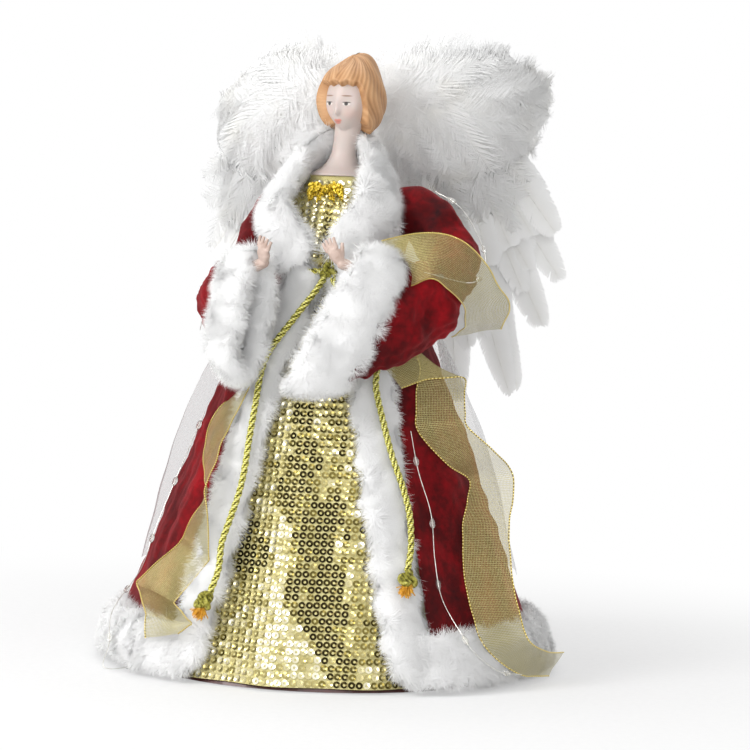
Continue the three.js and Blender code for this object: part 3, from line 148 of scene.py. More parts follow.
# %% Finish
class Finish:
    """One material, or the world: its main shader and the nodes that feed it."""

    def __init__(self, name, block=None, main="Principled BSDF", **sockets):
        self.material = block or bpy.data.materials.new(name)
        self.material.use_nodes = True
        self.tree = self.material.node_tree
        self.surface = self.tree.nodes[main]
        self.set(**sockets)

    def feed(self, node, sockets):
        for key, value in sockets.items():
            if isinstance(value, Wire):
                self.tree.links.new(value.socket, node.inputs[key])
            else:
                node.inputs[key].default_value = value

    def set(self, **sockets):
        self.feed(self.surface, {key.replace("_", " "): value for key, value in sockets.items()})

    def node(self, kind, settings=None, sockets=None):
        node = self.tree.nodes.new("ShaderNode" + kind)
        for key, value in (settings or {}).items():
            if key == "stops":
                for i, (place, colour) in enumerate(value):
                    stop = node.color_ramp.elements[i] if i < 2 else node.color_ramp.elements.new(place)
                    stop.position, stop.color = place, (*colour, 1)
            else:
                setattr(node, key, value)
        self.feed(node, sockets or {})
        return node

    def wire(self, kind, settings=None, sockets=None, output=0):
        return Wire(self, self.node(kind, settings, sockets).outputs[output])

    def coords(self, source="Object", scale=(1, 1, 1)):
        return self.wire("Mapping", {}, {"Vector": self.wire("TexCoord", output=source), "Scale": scale})

    def axis(self, which, source="Object"):
        return self.wire("SeparateXYZ", {}, {0: self.coords(source)}, which)

    def cloud(self, scale, detail=2.0, stretch=(1, 1, 1)):
        return self.wire("TexNoise", {}, {"Vector": self.coords(scale=stretch), "Scale": scale, "Detail": detail})

    def ramp(self, value, *stops):
        return self.wire("ValToRGB", {"stops": stops}, {0: value})

    def paint(self, value, *stops):
        self.set(Base_Color=self.ramp(value, *stops))

    def two_tone(self, scale, detail, dark, light, stretch=(1, 1, 1)):
        """Drifts between two colours in clouds."""
        self.paint(self.cloud(scale, detail, stretch), (0.3, dark), (0.7, light))

    def blend(self, mask, under, over):
        return self.wire("Mix", {"data_type": "RGBA"}, {0: mask, 6: under, 7: over}, 2)

    def vector(self, operation, *terms, output=0):
        return self.wire("VectorMath", {"operation": operation}, dict(enumerate(terms)), output)

    def in_sight(self):
        """1 where the camera looks, straight, by a mirror or through glass, and 0 for light that falls on things."""
        camera_ray, mirrored, through_glass = (
            self.wire("LightPath", output=f"Is {kind} Ray") for kind in ("Camera", "Glossy", "Transmission"))
        return camera_ray.larger(mirrored).larger(through_glass)

    def mixed(self, share, kind, **sockets):
        """Gives a share of the surface to another shader."""
        other = self.node(kind, {}, sockets)
        both = self.node("MixShader", {}, {0: share})
        self.tree.links.new(self.surface.outputs[0], both.inputs[1])
        self.tree.links.new(other.outputs[0], both.inputs[2])
        self.tree.links.new(both.outputs[0], self.tree.nodes["Material Output"].inputs[0])

    def bump(self, height, depth, strength=1.0):
        self.set(Normal=self.wire("Bump", {}, {"Height": height, "Distance": depth * MM, "Strength": strength}))


# %% [markdown]
# ## Studio
# The figure stands on a white table in front of white paper, lit softly from the viewer's left. The floor is pale
# and matt near the figure, so it keeps the shadow, and becomes the white of the paper further out.

# %% Floor
FLOOR_SIDE, FLOOR_Z = 6.0, -0.0004
bpy.ops.mesh.primitive_plane_add(size=FLOOR_SIDE, location=(0, 0, FLOOR_Z))
floor = bpy.context.object
floor.name = "table"
bpy.ops.object.transform_apply(location=True)
paper = Finish("white_paper", Roughness=0.9, Specular_IOR_Level=0.1)
paper.two_tone(300, 3, (0.80, 0.80, 0.80), (0.84, 0.84, 0.84))
far = paper.vector("LENGTH", paper.coords(), output="Value")
paper.mixed(paper.in_sight() * (far.between(0.12, 0.42) * 0.55 + 0.45), "Emission", Color=(1, 1, 1, 1), Strength=1.0)
floor.data.materials.append(paper.material)
floor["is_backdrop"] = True

# %% World and lamps
bpy.context.scene.world = bpy.data.worlds.new("studio")
sky = Finish("sky", bpy.context.scene.world, "Background", Color=(1, 1, 1, 1))
sky.set(Strength=sky.in_sight() * 0.5 + 0.5)
LAMPS_LOOK_AT = Vector((0, 0, 0.15))
KEY, FILL, TOP = 16.0, 6.5, 5.0


def lamp(name, place, size, power):
    bpy.ops.object.light_add(type="AREA", location=place)
    light = bpy.context.object
    light.name, light.data.shape, light.data.size, light.data.energy = name, "DISK", size, power
    light.rotation_euler = (LAMPS_LOOK_AT - Vector(place)).to_track_quat("-Z", "Y").to_euler()


lamp("key", (-0.85, -1.05, 0.75), 0.7, KEY)
lamp("fill", (0.35, -1.25, 0.4), 0.9, FILL)
lamp("top", (-0.1, 0.2, 1.4), 0.9, TOP)
print("studio lit with", KEY, FILL, TOP, "W")

# %% [markdown]
# ## Lines and grids
# Cloth and cords are sheets of points. One helper adds a flat grid and carries each point to its place by a
# function of u (across) and v (along); others draw a smooth line through stops and find directions across it.


# %% Numbers and lines
def mix(a, b, t):
    return a + (b - a) * t


def ease(x, low, high):
    t = np.clip((np.asarray(x, float) - low) / (high - low), 0, 1)
    return t * t * (3 - 2 * t)


def polar(angle, radius, z):
    """Angle from the front towards the figure's left hand, distance from the axis, height."""
    angle, radius, z = np.broadcast_arrays(angle, radius, z)
    return np.stack([radius * np.sin(angle), -radius * np.cos(angle), z], -1)


def unit(v):
    return v / np.linalg.norm(v, axis=-1, keepdims=True)


def square_to(axis, v):
    """Direction of what is left of v without its part along an axis."""
    return unit(v - axis * (v * axis).sum(-1, keepdims=True))


def ripple(points, wavelength, seed):
    """Smooth random wave over space, about -1 to 1, the same on every run."""
    rng = np.random.default_rng(seed)
    ways = unit(rng.normal(size=(6, 3))) * TAU / wavelength * rng.uniform(0.7, 1.4, (6, 1))
    return np.sin(points @ ways.T + rng.uniform(0, 6.28, 6)).sum(-1) / 3


def run_of(path):
    """Distance along a path at each of its points."""
    return np.concatenate([[0], np.cumsum(np.linalg.norm(np.diff(path, axis=0), axis=1))])


def extended(stops):
    """Stops with one more beyond each end, in line with the last two."""
    return np.vstack([2 * stops[0] - stops[1], stops, 2 * stops[-1] - stops[-2]])


def curve(rows, i, t):
    """Smooth curve at share t of the way from row i + 1 to row i + 2."""
    a, b, c, d = rows[i], rows[i + 1], rows[i + 2], rows[i + 3]
    return b + 0.5 * t * (c - a + t * (2 * a - 5 * b + 4 * c - d + t * (3 * (b - c) + d - a)))


def through(stops, count):
    """Evenly spaced points on a smooth line through stops."""
    stops = np.asarray(stops, float)
    t = np.linspace(0, 1, 24, endpoint=False)[:, None]
    runs = [curve(extended(stops), i, t) for i in range(len(stops) - 1)]
    dense = np.vstack([*runs, stops[-1:]])
    far = run_of(dense[:, :3])
    at = np.linspace(0, far[-1], count)
    return np.stack([np.interp(at, far, dense[:, k]) for k in range(dense.shape[1])], 1)


def row_at(v, count):
    """Number of the row that a grid's v stands for."""
    return np.rint(v * (count - 1)).astype(int)


def frames(path):
    """Directions across a path and up from it at each of its points, turning as little as they can."""
    ahead = unit(np.gradient(path, axis=0))
    across = np.empty_like(ahead)
    side = np.cross(ahead[0], (0.31, 0.22, 0.92))
    for i, forward in enumerate(ahead):
        side = unit(side - forward * side.dot(forward))
        across[i] = side
    return across, np.cross(ahead, across)


# %% Meshes
def read(piece):
    flat = np.empty(len(piece.data.vertices) * 3)
    piece.data.vertices.foreach_get("co", flat)
    return flat.reshape(-1, 3) / MM


def write(piece, points):
    piece.data.vertices.foreach_set("co", (points * MM).ravel())
    piece.data.update()


def only(*pieces):
    bpy.ops.object.select_all(action="DESELECT")
    for piece in pieces:
        piece.select_set(True)
    bpy.context.view_layer.objects.active = pieces[0]


def weld(piece, fill=False):
    """Merges points that lie together, closes holes if asked, and turns all faces outwards."""
    only(piece)
    bpy.ops.object.mode_set(mode="EDIT")
    bpy.ops.mesh.select_all(action="SELECT")
    bpy.ops.mesh.remove_doubles(threshold=1e-6)
    if fill:
        bpy.ops.mesh.fill_holes(sides=0)
    bpy.ops.mesh.normals_make_consistent(inside=False)
    bpy.ops.object.mode_set(mode="OBJECT")


def grid(name, columns, rows, place, closed=False):
    """A flat grid whose points are then carried to place(u, v), in mm."""
    bpy.ops.object.select_all(action="DESELECT")
    bpy.ops.mesh.primitive_grid_add(x_subdivisions=columns, y_subdivisions=rows, size=1)
    piece = bpy.context.object
    piece.name = piece.data.name = name
    flat = read(piece) * MM + 0.5
    write(piece, place(flat[:, 0], flat[:, 1]))
    if closed:
        weld(piece)
    bpy.ops.object.shade_smooth()
    return piece


def tube(name, path, radius, sides):
    """Round tube along a path; radius is one number or one for each point."""
    across, up_ = frames(path)
    radius = np.broadcast_to(radius, len(path))

    def place(u, v):
        i = row_at(v, len(path))
        turn = (TAU * u)[:, None]
        return path[i] + radius[i, None] * (np.cos(turn) * across[i] - np.sin(turn) * up_[i])

    return grid(name, sides, len(path) - 1, place, closed=True)


def join(name, *pieces):
    only(*pieces)
    bpy.ops.object.join()
    piece = bpy.context.object
    piece.name = piece.data.name = name
    return piece


# %% Many copies in one mesh
def copies(name, points, faces, marks, soft=None):
    """One mesh of many copies: points is copies x corners x 3, marks is each corner's place on the UV map. With soft,
    each corner is shaded as if it faced that way."""
    count, corners = points.shape[:2]
    loops = np.concatenate(faces)
    starts = np.cumsum([0] + [len(face) for face in faces[:-1]])
    index = (np.arange(count)[:, None] * corners + loops).ravel()
    mesh = bpy.data.meshes.new(name)
    mesh.vertices.add(count * corners)
    mesh.vertices.foreach_set("co", (points * MM).astype(np.float32).ravel())
    mesh.loops.add(len(index))
    mesh.loops.foreach_set("vertex_index", index.astype(np.int32))
    mesh.polygons.add(count * len(faces))
    starts = (np.arange(count)[:, None] * len(loops) + starts).ravel()
    mesh.polygons.foreach_set("loop_start", starts.astype(np.int32))
    mesh.uv_layers.new(name="UVMap").data.foreach_set("uv", marks.reshape(-1, 2)[index].astype(np.float32).ravel())
    mesh.update(calc_edges=True)
    mesh.validate()
    piece = bpy.data.objects.new(name, mesh)
    bpy.context.collection.objects.link(piece)
    only(piece)
    bpy.ops.object.shade_smooth()
    if soft is not None:
        mesh.normals_split_custom_set_from_vertices(soft.reshape(-1, 3).astype(np.float32))
    return piece


# %% Dressing a piece
def dress(piece, finish, slot, body, *nodes):
    """Gives a piece its finish and its body, and hides the solids that it stands for; slot is not used."""
    piece.data.materials.clear()
    piece.data.materials.append(finish.material)
    if body:
        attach(piece, body)
    if nodes:
        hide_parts(*nodes)
    print(piece.name, len(piece.data.polygons), "faces on", body or "two bodies")
    return piece


# %% [markdown]
# ## Layers of clothing
# The dress lies on the cone, plush and robe over it. These distances from the axis are the ones the solids use,
# so every layer clears the next.

# %% Distances from the axis, in mm
CONE_H, CONE_LOW, CONE_HIGH = 200.0, 95.0, 27.0
GAP, DRESS_T, FLUTE, FLUTES = 0.4, 1.0, 3.0, 13
ROBE_EASE, ROBE_T, ROBE_FOLD, ROBE_FOLDS, ROBE_TOP = 2.5, 1.4, 3.5, 9, 225.0
FUR_W, FUR_T, HEM_H, HEM_T, BAND_CLEAR = 21.0, 9.0, 27.0, 14.0, 1.3
WAIST, TORSO_H = 191.0, 34.0
TORSO_SIDE, TORSO_FRONT = (27.0, 30.0, 27.0, 14.0), (27.0, 22.0, 17.0, 12.0)


def cone_r(z):
    return mix(CONE_LOW, CONE_HIGH, z / CONE_H)


def fade(z):
    return np.maximum(0, 1 - z / CONE_H)


def flute_r(a, z):
    return FLUTE * fade(z) * (0.5 + 0.5 * np.cos(FLUTES * a))


def fur_in(z):
    return cone_r(z) + 2 * GAP + DRESS_T + (FLUTE + ROBE_EASE) * fade(z)


def robe_max(z):
    return fur_in(z) + ROBE_T + ROBE_FOLD * fade(z)


def spline(values, share):
    """Smooth curve through four evenly spaced values."""
    p = np.array([values[0], *values, values[-1]])
    at = np.clip(share, 0, 1) * 3
    i = np.minimum(at.astype(int), 2)
    return curve(p, i, at - i)


def torso_r(a, z):
    share = (np.asarray(z, float) - CONE_H) / TORSO_H
    return 1 / np.hypot(np.sin(a) / spline(TORSO_SIDE, share), np.cos(a) / spline(TORSO_FRONT, share))


def robe_in(a, z):
    wave = np.cos(ROBE_FOLDS * a) + 0.35 * np.sin(2 * ROBE_FOLDS * a + 1)
    low = cone_r(z) + GAP + DRESS_T + FLUTE * fade(z)
    high = torso_r(a, z) + 2 * GAP + DRESS_T + ROBE_EASE / 2
    over = np.where(z > CONE_H, high, low)
    return over + GAP + ROBE_EASE * fade(z) + ROBE_FOLD * fade(z) * (0.5 + 0.37 * wave)


def closing(z):
    """How far each front edge moves towards the other where the cord draws the robe in."""
    return np.radians(12) * ease(z, 138, 186)


def open_left(z):
    """Angle of the robe's left front edge."""
    return np.radians(mix(33, 20, np.minimum(z, WAIST) / WAIST)) - closing(z)


def open_right(z):
    return closing(z) - np.radians(mix(21, 11, np.minimum(z, WAIST) / WAIST))


def band_angle(z):
    return FUR_W / (fur_in(np.minimum(z, WAIST)) + FUR_T / 2)


def skin_r(z):
    return fur_in(z) + mix(HEM_T, FUR_T, ease(z, HEM_H + 3, HEM_H + 12)) + GAP


print("robe at the hem", round(float(robe_max(0.0)), 1), "mm, at the waist", round(float(robe_max(WAIST)), 1), "mm")

# %% [markdown]
# ## Gold cord
# The cord is three strands of gold thread laid round each other, about 3 mm thick. It is tied round the waist,
# and its two tails hang down the plush bands and end in a knot and a cut tassel. Each strand is a thin tube
# wound round the cord's line, because the grooves between strands are what makes it read as cord.

# %% Cord finish
cord_gold = Finish("gold_thread", Metallic=0.55, Roughness=0.42)
twist = (cord_gold.axis("X", "UV") * 12.6 + cord_gold.axis("Y", "UV") * 900.0).wave()
# The finish darkens each point by its stored groove shade: painted shade deep between the strands.
groove_shade = cord_gold.wire("Attribute", {"attribute_name": "groove_shade"}, output="Fac")
tone = cord_gold.cloud(900, 2) * 0.6 + twist * 0.15 + 0.25 - groove_shade * 0.6
cord_gold.paint(tone, (0.08, (0.05, 0.045, 0.006)), (0.4, (0.50, 0.46, 0.06)), (0.72, (0.95, 0.92, 0.40)))
cord_gold.bump(twist, 0.25, 0.6)
cut_thread = Finish("cut_thread", Roughness=0.6)
cut_thread.two_tone(900, 2, (0.55, 0.24, 0.015), (0.85, 0.48, 0.05))

# %% Rope, knot and tassel
CORD_D, CORD_LAY = 3.2, 11.0
STRAND_OFF, STRAND_R = 0.26 * CORD_D, 0.25 * CORD_D
KNOT_R, BELT_KNOT_R, KNOT_T = 3.7, 3.4, 1.5


def store_groove_shade(piece, depth):
    """Stores for the finish the painted shade of each point, which is darkest deep in a groove."""
    piece.data.attributes.new("groove_shade", "FLOAT", "POINT").data.foreach_set("value", depth.astype(np.float32))
    return piece


def rope(name, path, lay):
    """Three strands wound round a path, one turn in each lay."""
    across, up_ = frames(path)
    turn = (TAU * run_of(path) / lay)[:, None]
    strands = []
    for k in range(3):
        angle = turn + TAU * k / 3
        centre = path + STRAND_OFF * (np.cos(angle) * across + np.sin(angle) * up_)
        strands.append(tube("strand", centre, STRAND_R, 6))
    piece = join(name, *strands)
    # Points near the cord's line lie deep between the strands and take painted shade.
    off = np.linalg.norm(read(piece)[:, None] - path, axis=-1).min(1)
    return store_groove_shade(piece, 1 - ease(off, 0.28 * CORD_D, 0.46 * CORD_D))


def tied(name, centre, size, down):
    """Overhand knot: one tube along a trefoil, turned so that its axis looks outwards."""
    t = np.linspace(0, TAU, 73)
    loop = np.stack([np.sin(t) + 2 * np.sin(2 * t), np.cos(t) - 2 * np.cos(2 * t), -1.3 * np.sin(3 * t)], 1)
    out = unit(np.array([centre[0], centre[1], 0.0]))
    turned_loop = loop @ np.stack([unit(np.cross(down, out)), unit(np.asarray(down)), out])
    piece = tube(name, centre + turned_loop * size / 3, KNOT_T, 8)
    # The knot takes painted shade in soft waves, standing in for the shade between its turns.
    return store_groove_shade(piece, 0.45 + 0.35 * np.sin(read(piece) @ np.array([3.1, 0.6, 3.1])))


def tassel(name, centre, down, length, count, seed):
    """Loose thread ends that spread as they leave the knot."""
    rng = np.random.default_rng(seed)
    spread = rng.normal(size=(count, 3)) * 0.34
    way = unit(np.asarray(down) + spread)
    reach = length * rng.uniform(0.7, 1.1, (count, 1))
    root = centre + rng.normal(size=(count, 3)) * 0.7
    tip = root + way * reach
    flat = unit(np.cross(way, rng.normal(size=(count, 3)))) * 0.28
    points = np.stack([root - flat, root + flat, tip - flat, tip + flat], 1)
    marks = np.broadcast_to(np.array([[0, 0], [1, 0], [0, 1], [1, 1]], float), (count, 4, 2))
    return copies(name, points, [[0, 1, 3, 2]], marks)


# %% Cord tails
belt_r = float(robe_max(WAIST)) + GAP + CORD_D / 2
belt_knot = polar(math.radians(8), belt_r + CORD_D / 2, WAIST)
TAILS = {  # angle and height of each stop
    "right": ((1, 181), (-9, 168), (-18, 154), (-20, 143), (-19, 129), (-18, 113), (-17, 99), (-17, 88), (-18, 77),
              (-19, 65), (-18, 53), (-19, 42)),
    "left": ((17, 181), (26, 168), (34, 151), (33, 138), (35, 122), (37, 108), (40, 92), (41, 80), (40, 66),
             (38, 56)),
}
for side, stops in TAILS.items():
    angles, heights = np.array(stops, float).T
    points = polar(np.radians(angles), fur_in(heights) + FUR_T + GAP + CORD_D / 2, heights)
    first = belt_knot + unit(points[0] - belt_knot) * 4.7
    path = through(np.vstack([first, points]), 240)
    down = unit(path[-1] - path[-6])
    knot_at = path[-1] + down * 3.5 + polar(np.radians(angles[-1]), 2.2, 0)
    tail = dress(rope(f"cord_{side}", path, CORD_LAY), cord_gold, "gold_cord", "figure", f"cord_tail_{side}")
    knot = tied(f"knot_{side}", knot_at, KNOT_R, down)
    dress(knot, cord_gold, "gold_cord", "figure", f"cord_knot_{side}")
    ends = tassel(f"cut_end_{side}", knot_at + down * 2.6, down, length=5.5, count=170, seed=5)
    dress(ends, cut_thread, "gold_cord", "figure")
    first * MM

# %% Belt
ring = polar(np.linspace(0, TAU, 241), belt_r, WAIST)
girth = float(run_of(ring)[-1])
belt = join("belt", rope("waist", ring, girth / round(girth / CORD_LAY)),
            tied("waist_knot", belt_knot, BELT_KNOT_R, (0, 0, -1)))
dress(belt, cord_gold, "gold_cord", "figure", "belt_cord")

# %% [markdown]
# ## Sequin dress
# The skirt is champagne cloth in soft flutes, covered with rows of small gold rings that are sewn on through their
# holes. One cupped ring is modelled, with few faces, and set over the cloth in staggered rows. Each ring is tipped
# a little its own way. Real sequins that face away look dark, so a stripe and a patch of them get a painted dark
# reflection in their tone, and the rings also carry painted shade in the folds and a few painted glints.

# %% Dress cloth
champagne = Finish("champagne_cloth", Roughness=0.5, Metallic=0.25)
weave = (champagne.axis("X") * 5200.0).wave() * (champagne.axis("Z") * 5200.0).wave()
champagne.paint(champagne.cloud(160, 3) * 0.5 + champagne.cloud(2200, 2) * 0.5,
                (0.3, (0.38, 0.325, 0.10)), (0.7, (0.67, 0.61, 0.31)))
champagne.bump(weave, 0.15, 0.5)


def skirt_r(a, z):
    return cone_r(z) + GAP + DRESS_T * 0.8 + flute_r(a, z)


def bodice_r(a, z):
    return torso_r(a, z) + 2 * GAP + DRESS_T * 0.8


def skirt_place(u, v):
    a, z = TAU * u, mix(2.0, WAIST + 6, v)
    return polar(a, skirt_r(a, z), z)


def bodice_place(u, v):
    """The top edge closes in under the shoulder plate."""
    a, z = TAU * u, mix(CONE_H - 3, CONE_H + TORSO_H + 2.6, v)
    r = bodice_r(a, z)
    return polar(a, mix(r, np.minimum(r, 15.6), ease(v, 0.93, 1)), z)


skirt = dress(grid("skirt", 208, 48, skirt_place, True), champagne, "gold_sequins", "figure", "dress_skirt")
bodice = dress(grid("bodice", 96, 20, bodice_place, True), champagne, "gold_sequins", "figure", "dress_bodice")

# %% One ring sequin
SEQUIN_R, SEQUIN_PITCH, RING_W, CUP = 1.68, 3.45, 1.0, 0.35
bpy.ops.object.select_all(action="DESELECT")
bpy.ops.mesh.primitive_circle_add(vertices=10, radius=SEQUIN_R * MM, fill_type="NGON")
sequin = bpy.context.object
bpy.ops.object.mode_set(mode="EDIT")
bpy.ops.mesh.select_all(action="SELECT")
bpy.ops.mesh.inset(thickness=RING_W * MM)
bpy.ops.transform.translate(value=(0, 0, -CUP * MM))
bpy.ops.mesh.delete(type="ONLY_FACE")
bpy.ops.object.mode_set(mode="OBJECT")
sequin_points = read(sequin)
sequin_faces = [list(face.vertices) for face in sequin.data.polygons]
bpy.data.objects.remove(sequin)
print("one sequin has", len(sequin_faces), "faces")

# %% Rows of sequins
sequin_gold = Finish("ring_sequins", Metallic=1.0, Roughness=0.2)
sequin_gold.paint(
    sequin_gold.axis("Y", "UV"), (0.1, (0.035, 0.027, 0.01)), (0.34, (0.25, 0.20, 0.055)),
    (0.6, (0.66, 0.575, 0.255)), (0.86, (1.0, 0.965, 0.80)))
# Course of the stripe of painted dark reflection: heights, middle angles in degrees, half widths in radians.
STRIPE_Z = (4, 16, 45, 78, 98, 125, 150)
STRIPE_ANGLE = (20, 17.5, 11.6, 7, 1, 1, -1)
STRIPE_HALF = (0.08, 0.11, 0.16, 0.19, 0.17, 0.1, 0.03)


def painted_dark_reflection(a, z, at, seed):
    """0 to 1 for each sequin: how much painted dark reflection it takes, as if turned away, along a stripe and in a
    patch beside it.
    """
    middle = np.radians(np.interp(z, STRIPE_Z, STRIPE_ANGLE))
    stripe = np.exp(-((a - middle) / np.interp(z, STRIPE_Z, STRIPE_HALF)) ** 2)
    patch = np.exp(-((a + 0.25) / 0.12) ** 2 - ((z - 60) / 14) ** 2)
    return ease(np.maximum(stripe, patch) + 0.25 * ripple(at * (1, 1, 0.6), 20, seed), 0.4, 0.62)


def sew(name, low, high, from_angle, to_angle, radius, seed, pale=0.0):
    """Staggered rows of sequins on a surface of the given radius, each turned to its normal and tipped a little."""
    rng = np.random.default_rng(seed)
    places = []
    for z in np.arange(low, high, SEQUIN_PITCH):
        step = SEQUIN_PITCH / float(radius(0.0, z))
        a = np.arange(math.ceil(from_angle(z) / step), to_angle(z) / step) * step
        places.append(np.stack([a, np.full_like(a, z)], 1))
    a, z = np.vstack(places).T
    cloth = polar(a, radius(a, z), z)
    by_angle = unit(polar(a + 0.01, radius(a + 0.01, z), z) - cloth)
    by_height = unit(polar(a, radius(a, z + 0.5), z + 0.5) - cloth)
    out = unit(np.cross(by_angle, by_height) + rng.normal(size=cloth.shape) * 0.07)
    at = cloth + out * 0.5
    east = square_to(out, by_angle)
    north = np.cross(out, east)
    points = at[:, None] + sequin_points @ np.stack([east, north, out], 1)
    # A ring's tone carries painted light: painted shade in the fold at the end of each row and in the flute valleys,
    # painted dark reflection, and a few painted glints.
    fold_shade = ease(a, to_angle(z) - 0.42, to_angle(z) - 0.27)
    glint = 0.3 * (rng.random(len(at)) < 0.08)
    tone = 0.62 + pale - 0.54 * painted_dark_reflection(a, z, at, seed) - 0.24 * fold_shade + 0.08 * np.cos(FLUTES * a)
    tone = np.clip(tone + rng.normal(size=len(at)) * 0.13 + glint, 0.02, 0.98)
    marks = np.repeat(np.stack([rng.random(len(at)), tone], 1)[:, None], len(sequin_points), 1)
    return copies(name, points, sequin_faces, marks)


FIRST_ROW, UNDER_BAND, BODICE_HALF = 3.8, 0.16, 0.95
skirt_rings = sew("skirt_sequins", FIRST_ROW, WAIST + 4, lambda z: open_right(z) - UNDER_BAND,
                  lambda z: open_left(z) + UNDER_BAND, skirt_r, seed=11)
bodice_rings = sew("bodice_sequins", CONE_H - 2, CONE_H + TORSO_H - 1, lambda z: -BODICE_HALF,
                   lambda z: BODICE_HALF, bodice_r, seed=12, pale=0.12)
dress(skirt_rings, sequin_gold, "gold_sequins", "figure")
dress(bodice_rings, sequin_gold, "gold_sequins", "figure")

# %% [markdown]
# ## Velvet robe and sleeves
# Crimson velvet hangs in soft folds from the shoulders and is cinched by the cord. Velvet is dark where one looks
# into the pile and bright where the pile lies over, so its colour varies in broad crushed patches, which also carry
# painted fold shade as tall dark and light streaks, and it has a sheen.
# The sleeves are wide bells. Their top ring lies on the shoulder, and the rest runs down the arm.

# %% Velvet
velvet = Finish("crimson_velvet", Roughness=0.75, Specular_IOR_Level=0.15, Sheen_Weight=0.28, Sheen_Roughness=0.4,
                Sheen_Tint=(1.0, 0.12, 0.14, 1))
# The coarse, tall clouds are painted fold shade in dark and light streaks; the finer clouds are the crushed pile.
crush_and_fold_shade = (velvet.cloud(28, 2, (1, 1, 0.3)) * 0.45 + velvet.cloud(90, 3, (1, 1, 0.5)) * 0.35
           + velvet.cloud(330, 2) * 0.2)
velvet.paint(crush_and_fold_shade, (0.36, (0.010, 0.0, 0.001)), (0.5, (0.075, 0.0004, 0.0015)), (0.65, (0.24, 0.0012, 0.005)))
velvet.bump(velvet.cloud(2600, 2), 0.3, 0.5)

# %% Robe
ROBE_LOW, ROBE_HIGH, VELVET_T = 14.0, 242.0, 1.0


def robe_from(z):
    return open_left(z) + band_angle(z) + BAND_CLEAR / fur_in(z)


def robe_to(z):
    return TAU + open_right(z) - band_angle(z) - BAND_CLEAR / fur_in(z)


def robe_place(u, v):
    """The front edges draw back above the waist, and creases hang down the cloth."""
    z = mix(ROBE_LOW, ROBE_HIGH, v)
    back_off = np.radians(26) * ease(z, 200, 232)
    a = mix(robe_from(np.minimum(z, ROBE_TOP)) + back_off, robe_to(np.minimum(z, ROBE_TOP)) - back_off, u)
    r = robe_in(a, np.minimum(z, 233.0)) + ROBE_T + 1.6 * fade(z)
    flat = polar(a, r, z)
    creases = 1.5 * ripple(flat * (1, 1, 0.22), 24, 3) + 0.6 * ripple(flat * (1, 1, 0.6), 9, 4)
    return polar(a, r + creases * ease(z, 24, 60) * mix(0.45, 1, ease(fade(z), 0.1, 0.5)), z)


def apply(piece, kind, **settings):
    """Adds a modifier and applies it."""
    only(piece)
    modifier = piece.modifiers.new(kind, kind)
    for key, value in settings.items():
        setattr(modifier, key, value)
    bpy.ops.object.modifier_apply(modifier=modifier.name)


robe = grid("robe_cloth", 300, 110, robe_place)
apply(robe, "SOLIDIFY", thickness=VELVET_T * MM, offset=-1)
dress(robe, velvet, "red_velvet", "figure", "robe")

# %% Rows of the sleeves
SHOULDER = np.array([26.75, 0.0, 223.0])
SLEEVES = {  # each row: top and bottom from the shoulder, half width
    "left": (((13, 0, 10), (8, 0, -16), 12), ((29, -2, 1), (16, -3, -30), 14), ((38, -10, -12), (24, -12, -48), 15),
             ((35, -30, -20), (31, -36, -63), 12), ((28, -46, -23), (16, -63, -75), 11),
             ((20, -56, -24), (-2, -73, -83), 11), ((1, -66, -19), (-29, -81, -86), 11)),
    "right": (((12.4, 0, 4), (8.4, 0, -17.5), 11), ((19, -3, -9), (15, -4, -33), 11),
              ((24, -12, -25), (18, -16, -54), 12), ((29, -28, -34), (16, -40, -71), 10),
              ((21, -44, -30), (7.5, -57, -80), 11), ((12.5, -53, -26), (3.5, -67, -84.5), 11.5),
              ((-3, -62, -20), (-13.5, -79, -82), 12)),
}
SIDE = {"left": 1, "right": -1}
SHOULDER_ROW = ((-7, 0, 7), (-7, 0, -16), 11)
SLEEVE_T, MOUTH_ROW, CUFF_ROW = 0.9, 5.05, 5.5


def rings_of(side):
    """Each row of a sleeve as nine numbers: its middle, the half vector to its top, the half vector across it."""
    flip = np.array([SIDE[side], 1, 1])
    rows = [SHOULDER_ROW, *SLEEVES[side]]
    tops = np.array([(SHOULDER + row[0]) * flip for row in rows])
    lows = np.array([(SHOULDER + row[1]) * flip for row in rows])
    middle, tall = (tops + lows) / 2, (tops - lows) / 2
    forward = np.vstack([middle[1] - middle[0], middle[2:] - middle[:-2], middle[-1] - middle[-2]])
    forward[1] = middle[2] - middle[1]
    across = unit(np.cross(tall, forward)) * SIDE[side] * np.array([row[2] for row in rows])[:, None]
    return np.hstack([middle, tall, across])


RINGS = {side: rings_of(side) for side in SIDE}


# %% Sleeves
def on_sleeve(side, along, turn, lift):
    """Point on a sleeve: row number (0 is the first row of the arm), turn from the top, height off the cloth."""
    rings = RINGS[side]
    at = np.clip(np.asarray(along, float) + 1, 0, len(rings) - 1)
    i = np.minimum(at.astype(int), len(rings) - 2)
    t = (at - i)[..., None]
    ring = mix(mix(rings[i], rings[i + 1], t), curve(extended(rings), i, t), 0.7)
    middle, tall, across = ring[..., :3], ring[..., 3:6], ring[..., 6:]
    high = 1 + (lift / np.linalg.norm(tall, axis=-1))[..., None]
    wide = 1 + (lift / np.linalg.norm(across, axis=-1))[..., None]
    turn = np.asarray(turn)[..., None]
    return middle + tall * np.cos(turn) * high + across * np.sin(turn) * wide


def slant(side, turn):
    """How far the mouth of the sleeve leans back below, in rows, so that the hanging cord passes in front."""
    return (0.55 if side == "right" else 0.0) * ease(0.5 - 0.5 * np.cos(turn), 0.25, 0.9)


